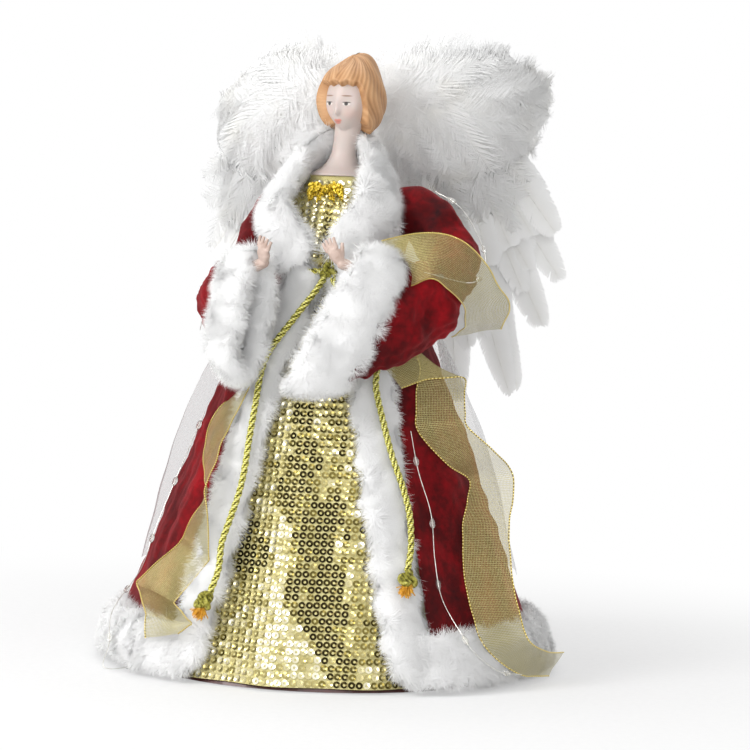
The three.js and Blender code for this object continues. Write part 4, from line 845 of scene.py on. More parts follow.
for side in SIDE:
    def sleeve_place(u, v):
        turn = TAU * u * -SIDE[side]
        along = mix(-1.0, MOUTH_ROW - slant(side, turn), v)
        base = on_sleeve(side, along, turn, 0 * u)
        crease = 1.9 * ripple(base * (1, 0.6, 1), 19, 21) + 0.8 * ripple(base, 7.5, 22) - 0.9
        return on_sleeve(side, along, turn, crease * ease(along, 0, 1.2) - 0.2)

    sleeve = grid(f"{side}_sleeve", 72, 84, sleeve_place, True)
    apply(sleeve, "SOLIDIFY", thickness=SLEEVE_T * MM, offset=-1)
    dress(sleeve, velvet, "red_velvet", None, f"sleeve_{side}")
    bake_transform(sleeve)

# %% [markdown]
# ## Plush trim
# White plush edges the robe: a thick hem, two front bands, a shawl collar and two wide cuffs. Its pile is about
# 6 mm long and lies over in soft tufts. Each trim is a padded core with thousands of flat fibres rooted in it, each
# one triangle. They lean together in small waves, which makes the tufts, and are shaded as the padding under them
# is, because real pile is too fine to show the side of one fibre.

# %% Plush finish
plush_white = Finish("white_plush", Roughness=0.85, Specular_IOR_Level=0.1)
# Fibres are greyer at the root than at the tip: painted shade deep in the pile.
height = plush_white.axis("Y", "UV")
plush_white.set(Base_Color=plush_white.blend(
    plush_white.cloud(120, 2) * 0.2,
    plush_white.ramp(height, (0.0, (0.88, 0.88, 0.88)), (0.5, (0.95, 0.95, 0.95)), (1.0, (0.985, 0.985, 0.98))),
    (0.94, 0.935, 0.925, 1)))
plush_white.mixed(0.25, "BsdfTranslucent", Color=(0.97, 0.97, 0.965, 1))


# %% Fibres
NAP = 14.0


def scatter(piece, count, rng):
    """Random places all over a piece and the outward direction at each."""
    mesh = piece.data
    mesh.calc_loop_triangles()
    corners = np.empty(len(mesh.loop_triangles) * 3, np.int32)
    mesh.loop_triangles.foreach_get("vertices", corners)
    normals = np.empty(len(mesh.vertices) * 3)
    mesh.vertex_normals.foreach_get("vector", normals)
    corners, normals, points = corners.reshape(-1, 3), normals.reshape(-1, 3), read(piece)
    a, b, c = points[corners].transpose(1, 0, 2)
    area = np.linalg.norm(np.cross(b - a, c - a), axis=1)
    pick = rng.choice(len(area), count, p=area / area.sum())
    s, t = rng.random((2, count, 1))
    s, t = np.where(s + t > 1, 1 - s, s), np.where(s + t > 1, 1 - t, t)
    na, nb, nc = normals[corners[pick]].transpose(1, 0, 2)
    return a[pick] + s * (b - a)[pick] + t * (c - a)[pick], unit(na + s * (nb - na) + t * (nc - na))


def fibres(root, out, length, width, seed):
    """Flat fibres of one triangle that lie over together in tufts. None goes below the table."""
    rng = np.random.default_rng(seed)
    count = len(root)
    waves = np.stack([ripple(root, NAP, seed + k) + 0.4 * ripple(root, NAP * 0.4, seed + 5 + k) for k in range(3)], 1)
    lie = waves - (0, 0, 0.6) + rng.normal(size=(count, 3)) * 0.35
    lie = square_to(out, lie)
    way = unit(out * rng.uniform(0.25, 0.75, (count, 1)) + lie)
    reach = length * rng.uniform(0.6, 1.1, (count, 1)) * (1 + 0.15 * ripple(root, NAP * 0.8, seed + 9))[:, None]
    flat = unit(np.cross(way, out + rng.normal(size=(count, 3)) * 0.15)) * width / 2
    points = np.stack([root - flat, root + flat, root + way * reach], 1)
    soft = np.repeat(unit(out + 0.15 * waves)[:, None], 3, 1)
    shade = np.broadcast_to(np.array([0, 0, 1.0]), (count, 3))
    marks = np.stack([np.broadcast_to(rng.random((count, 1)), (count, 3)), shade], -1)
    above = points[..., 2].min(1) > 0.3
    return copies("pile", points[above], [[0, 1, 2]], marks[above], soft[above])


def even_tone(piece, tone):
    """Gives all of a piece one place on the ramp of its finish."""
    for mark in piece.data.uv_layers.active.data:
        mark.uv = (0.5, tone)


def plush(name, body, node, shape, count, length, seed, width=0.34):
    """Core and fibres in one piece. Shape is the core's columns, rows and place. The core takes the painted shade of
    the fibres' roots."""
    core = grid("core", *shape, closed=True)
    root, out = scatter(core, count, np.random.default_rng(seed))
    even_tone(core, 0.4)
    dress(join(name, core, fibres(root, out, length, width, seed)), plush_white, "white_plush", body, node)


# %% Hem and front bands
def hem_place(u, v):
    a = mix(float(robe_from(HEM_H)) - 0.15, float(robe_to(HEM_H)) + 0.15, v)
    turn = -TAU * u
    z = (HEM_H + 3.5) / 2 + ((HEM_H - 5.5) / 2) * np.sin(turn)
    thin = mix(0.35, 1.0, ease(np.minimum(v, 1 - v), 0.0, 0.06))
    r = fur_in(z) + 1 + (HEM_T - 4.2) * thin * (0.5 + 0.5 * np.cos(turn))
    lump = ripple(polar(a, r, z), 24, 31)
    return polar(a, r + 0.8 * lump, z)


plush("plush_hem", "figure", "fur_hem", (20, 220, hem_place), count=180000, length=7.5, seed=41, width=0.38)
for side, edge in (("left", open_left), ("right", open_right)):
    def band_place(u, v):
        z = mix(6.5, WAIST + 4, v)
        middle = edge(z) + SIDE[side] * band_angle(z) / 2
        turn = TAU * u
        wide = np.sign(np.cos(turn)) * np.sqrt(np.abs(np.cos(turn)))
        end = np.sqrt(np.clip(np.minimum(v, 1 - v) / 0.03, 0.02, 1))
        a = middle + band_angle(z) * 0.42 * wide * end
        r = fur_in(z) + 0.6 + (FUR_T - mix(4.5, 5.0, ease(z, 178, WAIST))) * (0.5 + 0.5 * np.sin(turn))
        return polar(a, r, z)

    plush(f"plush_band_{side}", "figure", f"fur_band_{side}", (20, 90, band_place), count=90000, length=7.0, seed=43)

# %% Shawl collar
COLLAR_HALF_W, COLLAR_HALF_T = 11.0, 3.2


def collar_stop(angle, z, lift):
    """Stop of the collar's middle line, lifted off the robe."""
    a = math.radians(angle)
    return polar(a, float(robe_in(a, min(z, ROBE_TOP))) + ROBE_T + 5.3 + lift, z)


collar_line = through([
    collar_stop(-17, 196, 0.5), collar_stop(-24, 203, 1.4), collar_stop(-34, 211, 3.2), collar_stop(-47, 221.5, 4.6),
    (-17.4, 0, 243), (0, 12.9, 251), (17.4, 0, 243), collar_stop(45, 222.5, 4.6), collar_stop(31, 211.5, 3.2),
    collar_stop(23, 203, 1.4), collar_stop(17, 196, 0.5)], 121)


def collar_place(u, v):
    i = row_at(v, len(collar_line))
    centre = collar_line[i]
    forward = unit(np.gradient(collar_line, axis=0))[i]
    face = unit(centre * (1, 1, 0) + (0, 0, 7))
    face = square_to(forward, face)
    wide = np.cross(forward, face)
    taper = (0.55 + 0.45 * np.sqrt(np.sin(np.pi * mix(0.12, 0.88, v))))[:, None]
    turn = (TAU * u)[:, None]
    return centre + taper * (wide * COLLAR_HALF_W * np.cos(turn) + face * COLLAR_HALF_T * np.sin(turn))


plush("plush_collar", "figure", "fur_collar", (20, len(collar_line) - 1, collar_place), count=110000, length=7.5,
      seed=45)

# %% Cuffs
CUFF_LIFT = {"left": -1.8, "right": -3.2}
for side in SIDE:
    def cuff_place(u, v):
        section = TAU * u
        turn = TAU * v * SIDE[side]
        along = CUFF_ROW + 0.46 * np.cos(section) - slant(side, turn)
        lift = CUFF_LIFT[side] + 2.4 * np.sin(section)
        return on_sleeve(side, along, turn, lift)

    plush(f"plush_cuff_{side}", f"{side}_arm", f"cuff_{side}", (16, 90, cuff_place), count=110000, length=7.5,
          seed=47)

# %% [markdown]
# ## Porcelain
# The head, neck and shoulder plate are one bisque casting with a calm doll's face, matt and slightly warm, with the
# features painted on. The head starts as a ball that is pulled into shape, a turned neck is joined to it, and a
# remesh fuses the two into one skin.

# %% Skull
HEAD_Z, HEAD_R, HEAD_TURN, HEAD_LEAN = 272.8, np.array([11.8, 13.0, 16.0]), math.radians(-18), 3.8
RELIEF = (
    ((0, -1, -0.36), 0.085, 2.1), ((0, -1, -0.12), 0.085, 1.0), ((0.42, -0.87, -0.10), 0.15, -1.15),
    ((-0.42, -0.87, -0.10), 0.15, -1.15), ((0, -0.82, -0.60), 0.11, 0.75), ((0, -0.70, -0.74), 0.09, -0.35),
    ((0, -0.62, -0.88), 0.18, 0.9), ((0.55, -0.75, -0.34), 0.24, 0.6), ((-0.55, -0.75, -0.34), 0.24, 0.6),
    ((0.42, -0.89, -0.14), 0.075, 0.7), ((-0.42, -0.89, -0.14), 0.075, 0.7),
)


def turn_head(points):
    c, s = math.cos(HEAD_TURN), math.sin(HEAD_TURN)
    return points @ np.array([[c, s, 0], [-s, c, 0], [0, 0, 1]])


bpy.ops.object.select_all(action="DESELECT")
bpy.ops.mesh.primitive_uv_sphere_add(segments=128, ring_count=96, radius=MM)
skull = bpy.context.object
ball = read(skull)
jaw = 1 - 0.3 * ease(-ball[:, 2], 0.1, 1)
swell = sum(out * np.exp(-(np.linalg.norm(ball - unit(np.array(at)), axis=1) / width) ** 2 / 2)
            for at, width, out in RELIEF)
reach = HEAD_R + swell[:, None]
reach[:, 0] = HEAD_R[0] * jaw + swell
write(skull, turn_head(ball * reach) + (HEAD_LEAN, 0, HEAD_Z))

# %% Neck and one skin
NECK = ((15, 236.3), (14.9, 237.2), (9.2, 241.2), (6.5, 246), (6, 251), (6.4, 258), (6.9, 266))
neck_line = through(NECK, 60)


def neck_place(u, v):
    r, z = neck_line[row_at(v, len(neck_line))].T
    return polar(-TAU * u, r, z) + np.outer(ease(z, 236.3, HEAD_Z), (HEAD_LEAN, 0, 0))


neck = grid("neck", 64, len(neck_line) - 1, neck_place, True)


def fuse(piece, voxel):
    """One closed skin over everything in a piece, then a light smoothing."""
    weld(piece, fill=True)
    apply(piece, "REMESH", mode="VOXEL", voxel_size=voxel * MM)
    apply(piece, "SMOOTH", factor=0.5, iterations=3)
    bpy.ops.object.shade_smooth()
    return piece


head = fuse(join("head", skull, neck), 0.38)

# %% Painted bisque
bisque = Finish("bisque", Roughness=0.42, Specular_IOR_Level=0.35, Subsurface_Weight=0.12, Subsurface_Scale=0.004)
PORCELAIN, PORCELAIN_DARK, BLUSH = (0.50, 0.425, 0.395, 1), (0.46, 0.38, 0.345, 1), (0.54, 0.36, 0.31, 1)
LIP, MOUTH, BROW = (0.56, 0.19, 0.15, 1), (0.30, 0.07, 0.055, 1), (0.20, 0.09, 0.045, 1)
EYE_WHITE, DARK = (0.72, 0.68, 0.64, 1), (0.02, 0.013, 0.012, 1)
BOTH = (1, -1)
MARKS = (  # paint, strength and sides, then the place to the side and up, half width, half height, soft edge
    (BLUSH, 0.4, BOTH, 6.2, -6.2, 3.4, 2.6, 0.7),
    (BROW, 0.75, BOTH, 5.1, 2.0, 2.5, 0.36, 0.4),
    (EYE_WHITE, 0.8, BOTH, 4.9, -1.9, 1.8, 0.7, 0.25),
    (DARK, 0.95, BOTH, 4.8, -1.8, 0.95, 0.85, 0.25),
    (DARK, 0.8, BOTH, 5.0, -1.1, 2.0, 0.32, 0.3),
    (LIP, 0.85, BOTH, 0.9, -9.7, 1.3, 0.6, 0.3),
    (LIP, 0.85, (1,), 0, -10.7, 1.7, 0.75, 0.3),
    (MOUTH, 0.6, (1,), 0, -10.15, 2.1, 0.2, 0.4),
)


def spot(x, z, wide, tall, edge):
    """Soft oval mark on the face, in mm from the head's middle."""
    place = turn_head(np.array([[x, -HEAD_R[1], z]]))[0] + (HEAD_LEAN, 0, HEAD_Z)
    shift = bisque.vector("SUBTRACT", bisque.coords(), tuple(place * MM))
    size = bisque.vector("MULTIPLY", shift, (1000 / wide, 40, 1000 / tall))
    return 1 - bisque.vector("LENGTH", size, output="Value").between(1 - edge, 1 + edge)


colour = bisque.blend(bisque.cloud(220, 3) * 0.35, PORCELAIN, PORCELAIN_DARK)
for paint, strength, sides, x, *mark in MARKS:
    for way in sides:
        colour = bisque.blend(spot(way * x, *mark) * strength, colour, paint)
bisque.set(Base_Color=colour)
bisque.bump(bisque.cloud(1800, 3), 0.05, 0.4)
dress(head, bisque, "porcelain", "figure", "porcelain_head")

# %% [markdown]
# ## Hair
# The hair is part of the casting style: one moulded strawberry-blond mass, high and swept up at the back of the
# crown, with carved strands and a few short locks of fringe. It is a ball pulled over the head, carved by waves.

# %% Moulded hair
hair_paint = Finish("moulded_hair", Roughness=0.5)
# The ramp follows the height that the carving loop below stores in the UV map: painted shade in the grooves, lighter
# ridges.
hair_paint.paint(
    hair_paint.axis("Y", "UV") * 0.6 + hair_paint.cloud(350, 3) * 0.2 + 0.12, (0.15, (0.20, 0.085, 0.028)),
    (0.5, (0.43, 0.225, 0.098)), (0.85, (0.60, 0.355, 0.185)))


def carved(swept, fall):
    """Fine and broad waves across the strands."""
    return np.cos(38 * swept + 2.5 * np.sin(5 * fall)), np.cos(9 * swept - 5 * fall)


def hair_place(u, v):
    """v runs from the crown down, u round the head; the surface dives into the head below the hairline."""
    around, fall = TAU * u - np.pi, np.pi * v
    d = np.stack([np.sin(around) * np.sin(fall), -np.cos(around) * np.sin(fall), np.cos(fall)], 1)
    wide = np.abs(around)
    fringe = 0.035 * np.cos(13 * around + 0.6) * (1 - ease(wide, 0.5, 0.9))
    hairline = 0.44 + fringe - 1.12 * ease(wide, 0.80, 1.3) - 0.2 * ease(wide, 1.2, 2.0)
    covered = ease(d[:, 2], hairline - 0.07, hairline + 0.05)
    fine, broad = carved(around + 0.9 * np.sin(1.2 * fall) * np.sign(around), fall)
    crown = 6.0 * np.exp(-(np.linalg.norm(d - unit(np.array([0.05, 0.42, 0.9])), axis=1) / 0.45) ** 2)
    thick = mix(-4.6, 4.7 + 0.11 * fine + 0.24 * broad + crown, covered)
    reach = np.stack([HEAD_R[0] + thick, HEAD_R[1] + thick, HEAD_R[2] + thick * 0.62 + crown * 0.4], 1)
    return turn_head(d * reach) + (HEAD_LEAN, 0, HEAD_Z)


hair_piece = grid("hair_mass", 260, 120, hair_place, True)
# Each point is placed on the paint's ramp by the carved waves: the grooves get painted shade and the ridges are
# painted lighter.
for mark in hair_piece.data.uv_layers.active.data:
    around, fall = TAU * mark.uv[0] - math.pi, math.pi * mark.uv[1]
    fine, broad = carved(around + 0.9 * math.sin(1.2 * fall) * math.copysign(1, around), fall)
    mark.uv = (mark.uv[0], 0.55 + 0.16 * fine + 0.18 * broad)
dress(hair_piece, hair_paint, "moulded_hair", "figure", "hair")

# %% [markdown]
# ## Hands
# The hands are small porcelain castings. Their solids have the right pose but plain fingers, so a copy of each is
# fused and smoothed into one soft casting.

# %% Soft hands
for side in SIDE:
    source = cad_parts[f"forearm_{side}"]
    hand = source.copy()
    hand.data = source.data.copy()
    hand.animation_data_clear()
    hand.parent = None
    bpy.context.collection.objects.link(hand)
    hand.name = hand.data.name = f"hand_{side}"
    fuse(hand, 0.32)
    skin = Finish(f"hand_bisque_{side}", Roughness=0.42, Specular_IOR_Level=0.35)
    skin.two_tone(320, 3, (0.40, 0.29, 0.24), (0.55, 0.43, 0.375))
    skin.bump(skin.cloud(1800, 2), 0.05, 0.4)
    dress(hand, skin, "porcelain", f"{side}_arm", f"forearm_{side}")

# %% [markdown]
# ## Bow
# A small bow of crinkled gold foil sits at the neckline: two drooping loops, two short tails and a pinched middle.
# Each loop is a strip that runs out and comes back, crumpled by small waves.

# %% Gold foil bow
foil = Finish("gold_foil", Metallic=1.0, Roughness=0.28)
foil.paint(foil.cloud(1400, 3), (0.38, (0.12, 0.07, 0.003)), (0.5, (0.62, 0.42, 0.025)), (0.64, (1.0, 0.80, 0.16)))
foil.bump(foil.cloud(2400, 3), 0.7, 0.9)
bow_low, bow_high = (np.array(c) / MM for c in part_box("neck_bow"))
bow_at = (bow_low + bow_high) / 2 + (-1.0, -0.2, 5.2)


def bow_strip(name, line, half):
    """Crumpled strip along a line, with its width up and down."""
    path = through(line, 41)

    def place(u, v):
        rise = (u - 0.5) * 2 * np.interp(v, [0, 0.5, 1], half)
        points = path[row_at(v, len(path))] + np.outer(rise, (0, 0, 1.0))
        crush = np.stack([ripple(points + v[:, None] * 9, 3.2, 60 + k) for k in range(3)], 1)
        return points + crush * 0.55

    return grid(name, 12, len(path) - 1, place)


strips = []
for turn in (1, -1):
    strips.append(bow_strip("loop", [bow_at + (turn * x, y, z) for x, y, z in (
        (0.6, -0.5, 1.2), (4, -2.6, 2.2), (7.8, -2.8, 0.6), (8.8, -1.4, -1.8), (7.4, 0.4, -1.0), (4, 0.6, 0.9),
        (0.6, 0.2, 1.0))], (1.6, 3.6, 1.6)))
    strips.append(bow_strip("tail", [bow_at + (turn * x, y, z) for x, y, z in (
        (0.4, -0.8, 0.8), (2.2, -1.6, -1.4), (4.6, -1.2, -4.2))], (1.0, 1.8, 2.0)))
strips.append(tube("pinch", through([bow_at + (0, -1.4, 3), bow_at + (0.2, -2.6, 1.2), bow_at + (0, -1.6, -1)], 16),
                   np.interp(np.arange(16), [0, 8, 15], [1.0, 1.9, 1.0]), 10))
bow = join("foil_bow", *strips)
apply(bow, "SOLIDIFY", thickness=0.12 * MM, offset=-1)
dress(bow, foil, "gold_foil", "figure", "neck_bow")

# %% [markdown]
# ## Mesh ribbon
# Sheer gold ribbon with a bright wired edge winds over the figure's left sleeve and hangs down both sides. It is a
# strip along a line of stops: each gives the ribbon's middle and the direction of its width, so it can turn over.
# The weave is in the finish: threads one way and across, with gaps that let the velvet show through.

# %% Ribbon finish
gauze = Finish("gold_gauze", Metallic=0.5, Roughness=0.38)
warp = (gauze.axis("X", "UV") * 190.0).wave()
weft = (gauze.axis("Y", "UV") * 1700.0).wave()
thread = warp.larger(weft)
gauze.paint(gauze.cloud(1500, 3) * 0.5 + thread * 0.25 + 0.2, (0.25, (0.15, 0.12, 0.025)),
            (0.55, (0.38, 0.32, 0.10)), (0.85, (0.78, 0.70, 0.36)))
gauze.set(Alpha=thread.between(-0.6, 0.7) * 0.42 + 0.2)
gauze.bump(thread, 0.15, 0.5)
edge_gold = Finish("ribbon_edge", Metallic=0.8, Roughness=0.3)
beads = (edge_gold.axis("Y", "UV") * 900.0).wave()
edge_gold.paint(beads * 0.5 + 0.5, (0.2, (0.36, 0.25, 0.03)), (0.7, (0.95, 0.80, 0.30)))
edge_gold.bump(beads, 0.3, 0.8)

# %% Ribbon along stops
RIBBON_W, RIBBON_COLUMNS, EDGE_R = 24.0, 16, 0.34


def ribbon(name, stops, count):
    """Strip, its two edges and its length. Stops give the middle of the ribbon and the direction of its width."""
    line = through(stops, count)
    middle, wide = line[:, :3], unit(line[:, 3:])

    def place(u, v):
        i = row_at(v, count)
        flat = middle[i] + wide[i] * ((u - 0.5) * RIBBON_W)[:, None]
        out = unit(np.cross(np.gradient(middle, axis=0)[i], wide[i]))
        return flat + out * (0.5 * ripple(flat, 14, 71))[:, None]

    strip = grid(name, RIBBON_COLUMNS, count - 1, place)
    points = read(strip).reshape(count, RIBBON_COLUMNS + 1, 3)
    edges = join(f"{name}_edges", *(tube("edge", points[:, k], EDGE_R, 6) for k in (0, RIBBON_COLUMNS)))
    return strip, edges, float(run_of(middle)[-1])


def on_robe(angle, z, lift, tilt, roll):
    """Stop on the robe: tilt turns the ribbon's width in the cloth's plane, roll lifts one edge off it while the
    other stays on it."""
    a, tilt, roll = math.radians(angle), math.radians(tilt), math.radians(roll)
    out, round_, upward = polar(a, 1, 0), polar(a + math.pi / 2, 1, 0), np.array([0, 0, 1.0])
    flat = round_ * math.cos(tilt) + upward * math.sin(tilt)
    wide = flat * math.cos(roll) + out * math.sin(roll)
    off = RIBBON_W / 2 * abs(math.sin(roll)) + lift
    return [*polar(a, float(skin_r(z)) + off, z), *wide]


# %% Three ribbons
FALL_LEFT = [on_robe(*stop) for stop in (
    (40, 147, -4, -50, 10), (58, 152, -3, -60, 20), (70, 146, -3, -20, 35), (66, 136, -4, 0, 35),
    (63, 127, -4, 0, 35), (62, 119, -4, 8, 35), (72, 106, -3, 20, 40), (82, 96, -2, 8, 42), (78, 85, -3, 0, 40),
    (72, 73, -4, 0, 36), (67, 52, -4, 0, 34), (65, 36, -3, 0, 30), (64, 22, -1, 4, 20), (74, 11, 0, 20, 8),
    (87, 7, 1, 20, 4))]
FALL_RIGHT = (
    (-31.5, -50.5, 133.5, 0.55, -0.80, 0.22), (-36.6, -52.9, 126.1, 0.68, -0.69, 0.24),
    (-42.0, -52.3, 116.0, 0.69, -0.68, 0.23), (-42.7, -62.3, 101.8, 0.53, -0.82, 0.20),
    (-41.7, -70.4, 92.7, 0.37, -0.92, 0.11), (-41.0, -73.8, 87.9, 0.27, -0.96, 0.07),
    (-40.8, -75.0, 82.3, 0.37, -0.93, 0.03), (-43.1, -74.2, 74.2, 0.57, -0.82, -0.04),
    (-44.8, -73.9, 62.1, 0.73, -0.65, -0.22), (-45.1, -75.1, 59.3, 0.78, -0.58, -0.26),
    (-46.5, -75.9, 57.2, 0.79, -0.56, -0.24), (-61.2, -77.2, 41.0, 0.88, -0.35, -0.31),
    (-63.4, -76.9, 38.6, 0.90, -0.33, -0.29), (-61.6, -79.3, 37.2, 0.90, -0.36, -0.25),
    (-50.7, -95.2, 29.9, 0.98, -0.17, -0.11), (-50.7, -95.7, 28.4, 0.97, -0.23, -0.05),
    (-53.3, -95.7, 21.3, 0.82, -0.53, 0.21))
TURN_LEFT = (
    (42, -59.5, 197.0, -0.5, 0, 0.85), (61, -54.5, 201.2, 0.1, 0.5, 0.85), (71, -43, 194.8, 0.4, 0.55, 0.73),
    (77, -24, 181.7, 0.55, 0.75, 0.36), (76, -7, 171.7, 0.83, 0.33, 0.44), (68, 8, 163, 0.96, 0.2, 0.2))
for name, node, body, held, under, count, stops in (
        ("ribbon_fall_left", "ribbon_tail_left", "figure", "hung", "robe", 150, FALL_LEFT),
        ("ribbon_fall_right", "ribbon_tail_right", "figure", "hung", "robe", 150, FALL_RIGHT),
        ("ribbon_turn_left", "ribbon_loop_left", "left_arm", "draped", "sleeve_left", 90, TURN_LEFT)):
    strip, edges, along = ribbon(name, np.array(stops, float), count)
    dress(strip, gauze, "gold_mesh", body, node)
    dress(edges, edge_gold, "gold_mesh", body)
    along * MM
    print(name, round(along), "mm long")

# %% [markdown]
# ## Veil
# A sheer white veil hangs behind the robe and shows only as a pale edge in front. It is one grid with a few hanging
# waves and a finish that is mostly see-through.

# %% Veil
organza = Finish("sheer_white", Roughness=0.5)
organza.two_tone(60, 2, (0.70, 0.70, 0.71), (0.80, 0.80, 0.80))
selvedge = (organza.axis("X", "UV") - 0.5).size().between(0.488, 0.494)
organza.set(Alpha=organza.cloud(700, 3).between(0.2, 0.8) * 0.06 + selvedge * 0.4 + 0.26)
VEIL_LOW, VEIL_HIGH = 46.0, 178.0
VEIL_FROM, VEIL_TO = math.radians(96), TAU - math.radians(82)


def veil_place(u, v):
    z = mix(VEIL_LOW, VEIL_HIGH, v)
    swing = np.sin(np.pi * v)
    sway = math.radians(3) * np.sin(z / 17)
    a = mix(VEIL_FROM + sway, VEIL_TO + sway, u)
    r = robe_max(z) + GAP + 5 * swing + 4.0 * swing * (0.5 + 0.5 * np.cos(9 * a)) + 2.4
    return polar(a, r + 0.6 * ripple(polar(a, r, z), 26, 81) * swing, z)


veil = dress(grid("veil_cloth", 180, 70, veil_place), organza, "sheer_white", "figure", "veil")

# %% [markdown]
# ## Wings
# Each wing is a card that turns on a wire at the back. Long goose feathers fan out behind it, shorter ones overlap
# them, and white marabou down covers the front. A feather is built from its barbs: narrow blades that leave the
# quill at a slant, with a few splits, so its edge is soft and its tip is ragged as a real one is.

# %% Feather finish
quill_white = Finish("white_feather", Roughness=0.7, Specular_IOR_Level=0.2)
quill_white.paint(
    quill_white.axis("Y", "UV") * 0.75 + quill_white.cloud(140, 2) * 0.25, (0.1, (0.76, 0.75, 0.72)),
    (0.5, (0.84, 0.84, 0.83)), (0.9, (0.90, 0.90, 0.90)))
quill_white.mixed(0.22, "BsdfTranslucent", Color=(0.97, 0.97, 0.96, 1))

# %% From a wing to the figure
HINGE = np.array([9.0, 35.094, 205.0])
SWEEP = math.radians(33)


def spun(x, y, angle):
    """Coordinates x and y after a turn in their plane."""
    c, s = math.cos(angle), math.sin(angle)
    return x * c - y * s, x * s + y * c


def wing_turn(side, way):
    """From a direction on a wing (out, back, up) to the figure's."""
    x, y = spun(way[..., 0], way[..., 1], SWEEP)
    return np.stack([SIDE[side] * x, y, way[..., 2]], -1)


def wing_place(side, points):
    """From a wing's own place (out, back, up from its hinge) to the figure."""
    return wing_turn(side, points) + HINGE * (SIDE[side], 1, 1)


# %% One feather from its barbs
def feather(length, width, bend, camber, rng, barbs=90, rake=0.8, cover=1.7, fray=0.07, stem=0.5):
    """Blades of one feather that hangs from its quill along -z, with the width along x. Rake is how far the barbs
    slant, cover a blade's width over its pitch, and fray how far the barbs' ends stray."""
    t = np.linspace(0.06, 0.998, barbs)
    blades = []
    for s in (1, -1):
        half = width / 2 * np.sqrt(np.clip(1 - (np.abs(t - 0.45) / 0.55) ** 2.6, 0, 1)) * ease(t, 0.0, 0.16)
        half = half * rng.uniform(0.97, 1.02, barbs) * (1 if s > 0 else 0.86)
        split = np.cumsum(rng.random(barbs) < 0.06) * rng.uniform(0.4, 0.9)
        lag = rake * half + 0.9 * np.sin(split * 9.0)
        stray = rng.normal(size=(barbs, 3)) * fray
        corners = []
        for share, wide in ((0.0, 1.0), (0.55, 0.95), (1.0, 0.6)):
            z = -length * t - lag * share ** 1.15
            tip_room = np.clip(-length * 1.02 - z, None, 0)
            middle = np.stack([bend * t * t + s * half * share, camber * half * share ** 2, z - tip_room * 0.3], 1)
            middle = middle + stray * share ** 2
            pitch = length / barbs * cover * wide
            corners += [middle + (0, 0, s * pitch / 2), middle - (0, 0, s * pitch / 2)]
        blades.append(np.stack(corners, 1))
    marks = np.array([[0, 0.25], [0, 0.25], [0.5, 0.6], [0.5, 0.6], [1, 1], [1, 1]])
    spine = np.linspace(0, 0.97, 12)
    thick = mix(stem, stem / 5, spine)
    left = np.stack([bend * spine ** 2 - thick, np.full(12, -0.25), -length * spine], 1)
    right_ = left + np.stack([2 * thick, 0 * thick, 0 * thick], 1)
    quill = np.stack([right_[:-1], left[:-1], right_[1:], left[1:], right_[1:], left[1:]], 1)
    points = np.vstack([*blades, quill])
    uv = np.vstack([np.broadcast_to(marks, (2 * barbs, 6, 2)), np.full((11, 6, 2), 0.1)])
    return points, uv


# %% Feathers side by side
def fan(points, out, back_, up_, lean, twist):
    """Leans a hanging feather outwards, twists it about its quill and moves its quill to a place on the wing."""
    x, y = spun(points[..., 0], points[..., 1], twist)
    x, z = spun(x, points[..., 2], lean)
    return np.stack([x + out, y + back_, z + up_], -1)


BARB_FACES = {"left": [[0, 1, 3, 2], [2, 3, 5, 4]], "right": [[2, 3, 1, 0], [4, 5, 3, 2]]}


def flock(name, side, rows, seed):
    """Rows of feathers in one piece. A row gives how many, their length along the row, width and bend, the first and
    last quill (out, up, lean), the depth of the first and the step back to the next."""
    rng = np.random.default_rng(seed)
    points, marks = [], []
    for count, length, width, bend, start, stop, depth, step in rows:
        for k in range(count):
            share = k / (count - 1)
            reach = length(share) * rng.uniform(0.9, 1.05)
            blade, uv = feather(reach, width * rng.uniform(0.85, 1.05), bend + rng.normal() * 3, 0.10, rng)
            lean = math.radians(mix(start[2], stop[2], share) + rng.normal() * 3.0)
            blade = fan(blade, mix(start[0], stop[0], share), depth + step * k, mix(start[1], stop[1], share), lean,
                        rng.normal() * 0.12)
            points.append(wing_place(side, blade))
            marks.append(uv)
    return copies(name, np.vstack(points), BARB_FACES[side], np.vstack(marks))


# %% Fans of feathers
FLIGHT_L, COVERT_L = 134, 64.0


def flight_length(share):
    """The fan's first feathers are the longest."""
    return FLIGHT_L * (1 - 0.63 * max(0.0, (share - 0.15) / 0.85) ** 2)


for side, spread in (("left", 0), ("right", 7)):
    flight = flock(f"flight_feathers_{side}", side, (
        (10, flight_length, 21, 2, (34, 46, 10 + spread), (60, 56, 36 + spread), 4.6, 1.15),
        (9, lambda s: flight_length(s) * 0.74, 22, 2, (30, 48, 8 + spread), (58, 58, 34 + spread), 3.4, 0.5)), 91)
    dress(flight, quill_white, "white_feather", f"{side}_wing", *(f"feather_{k}_{side}" for k in range(1, 7)))
    coverts = flock(f"covert_feathers_{side}", side, (
        (8, lambda s: COVERT_L, 24, 2, (18, 40, 4), (60, 57, 34), 1.2, 0.2),), 92)
    dress(coverts, quill_white, "white_feather", f"{side}_wing", f"wing_coverts_{side}")

# %% Marabou down
down_white = Finish("marabou_down", Roughness=0.9, Specular_IOR_Level=0.05)
down_white.set(Base_Color=down_white.blend(
    down_white.cloud(45, 2).between(0.5, 0.75) * 0.4,
    down_white.ramp(down_white.axis("Y", "UV"), (0.0, (0.83, 0.83, 0.82)), (1.0, (0.92, 0.92, 0.92))),
    (0.88, 0.86, 0.80, 1)))
down_white.mixed(0.25, "BsdfTranslucent", Color=(0.97, 0.97, 0.96, 1))
DOWN_AT, DOWN_R, DOWN_DROP = np.array([48.0, -1.0, 68.2]), np.array([45.0, 15.0, 27.0]), 46.0
SAG = {"left": 0.0, "right": 15.0}


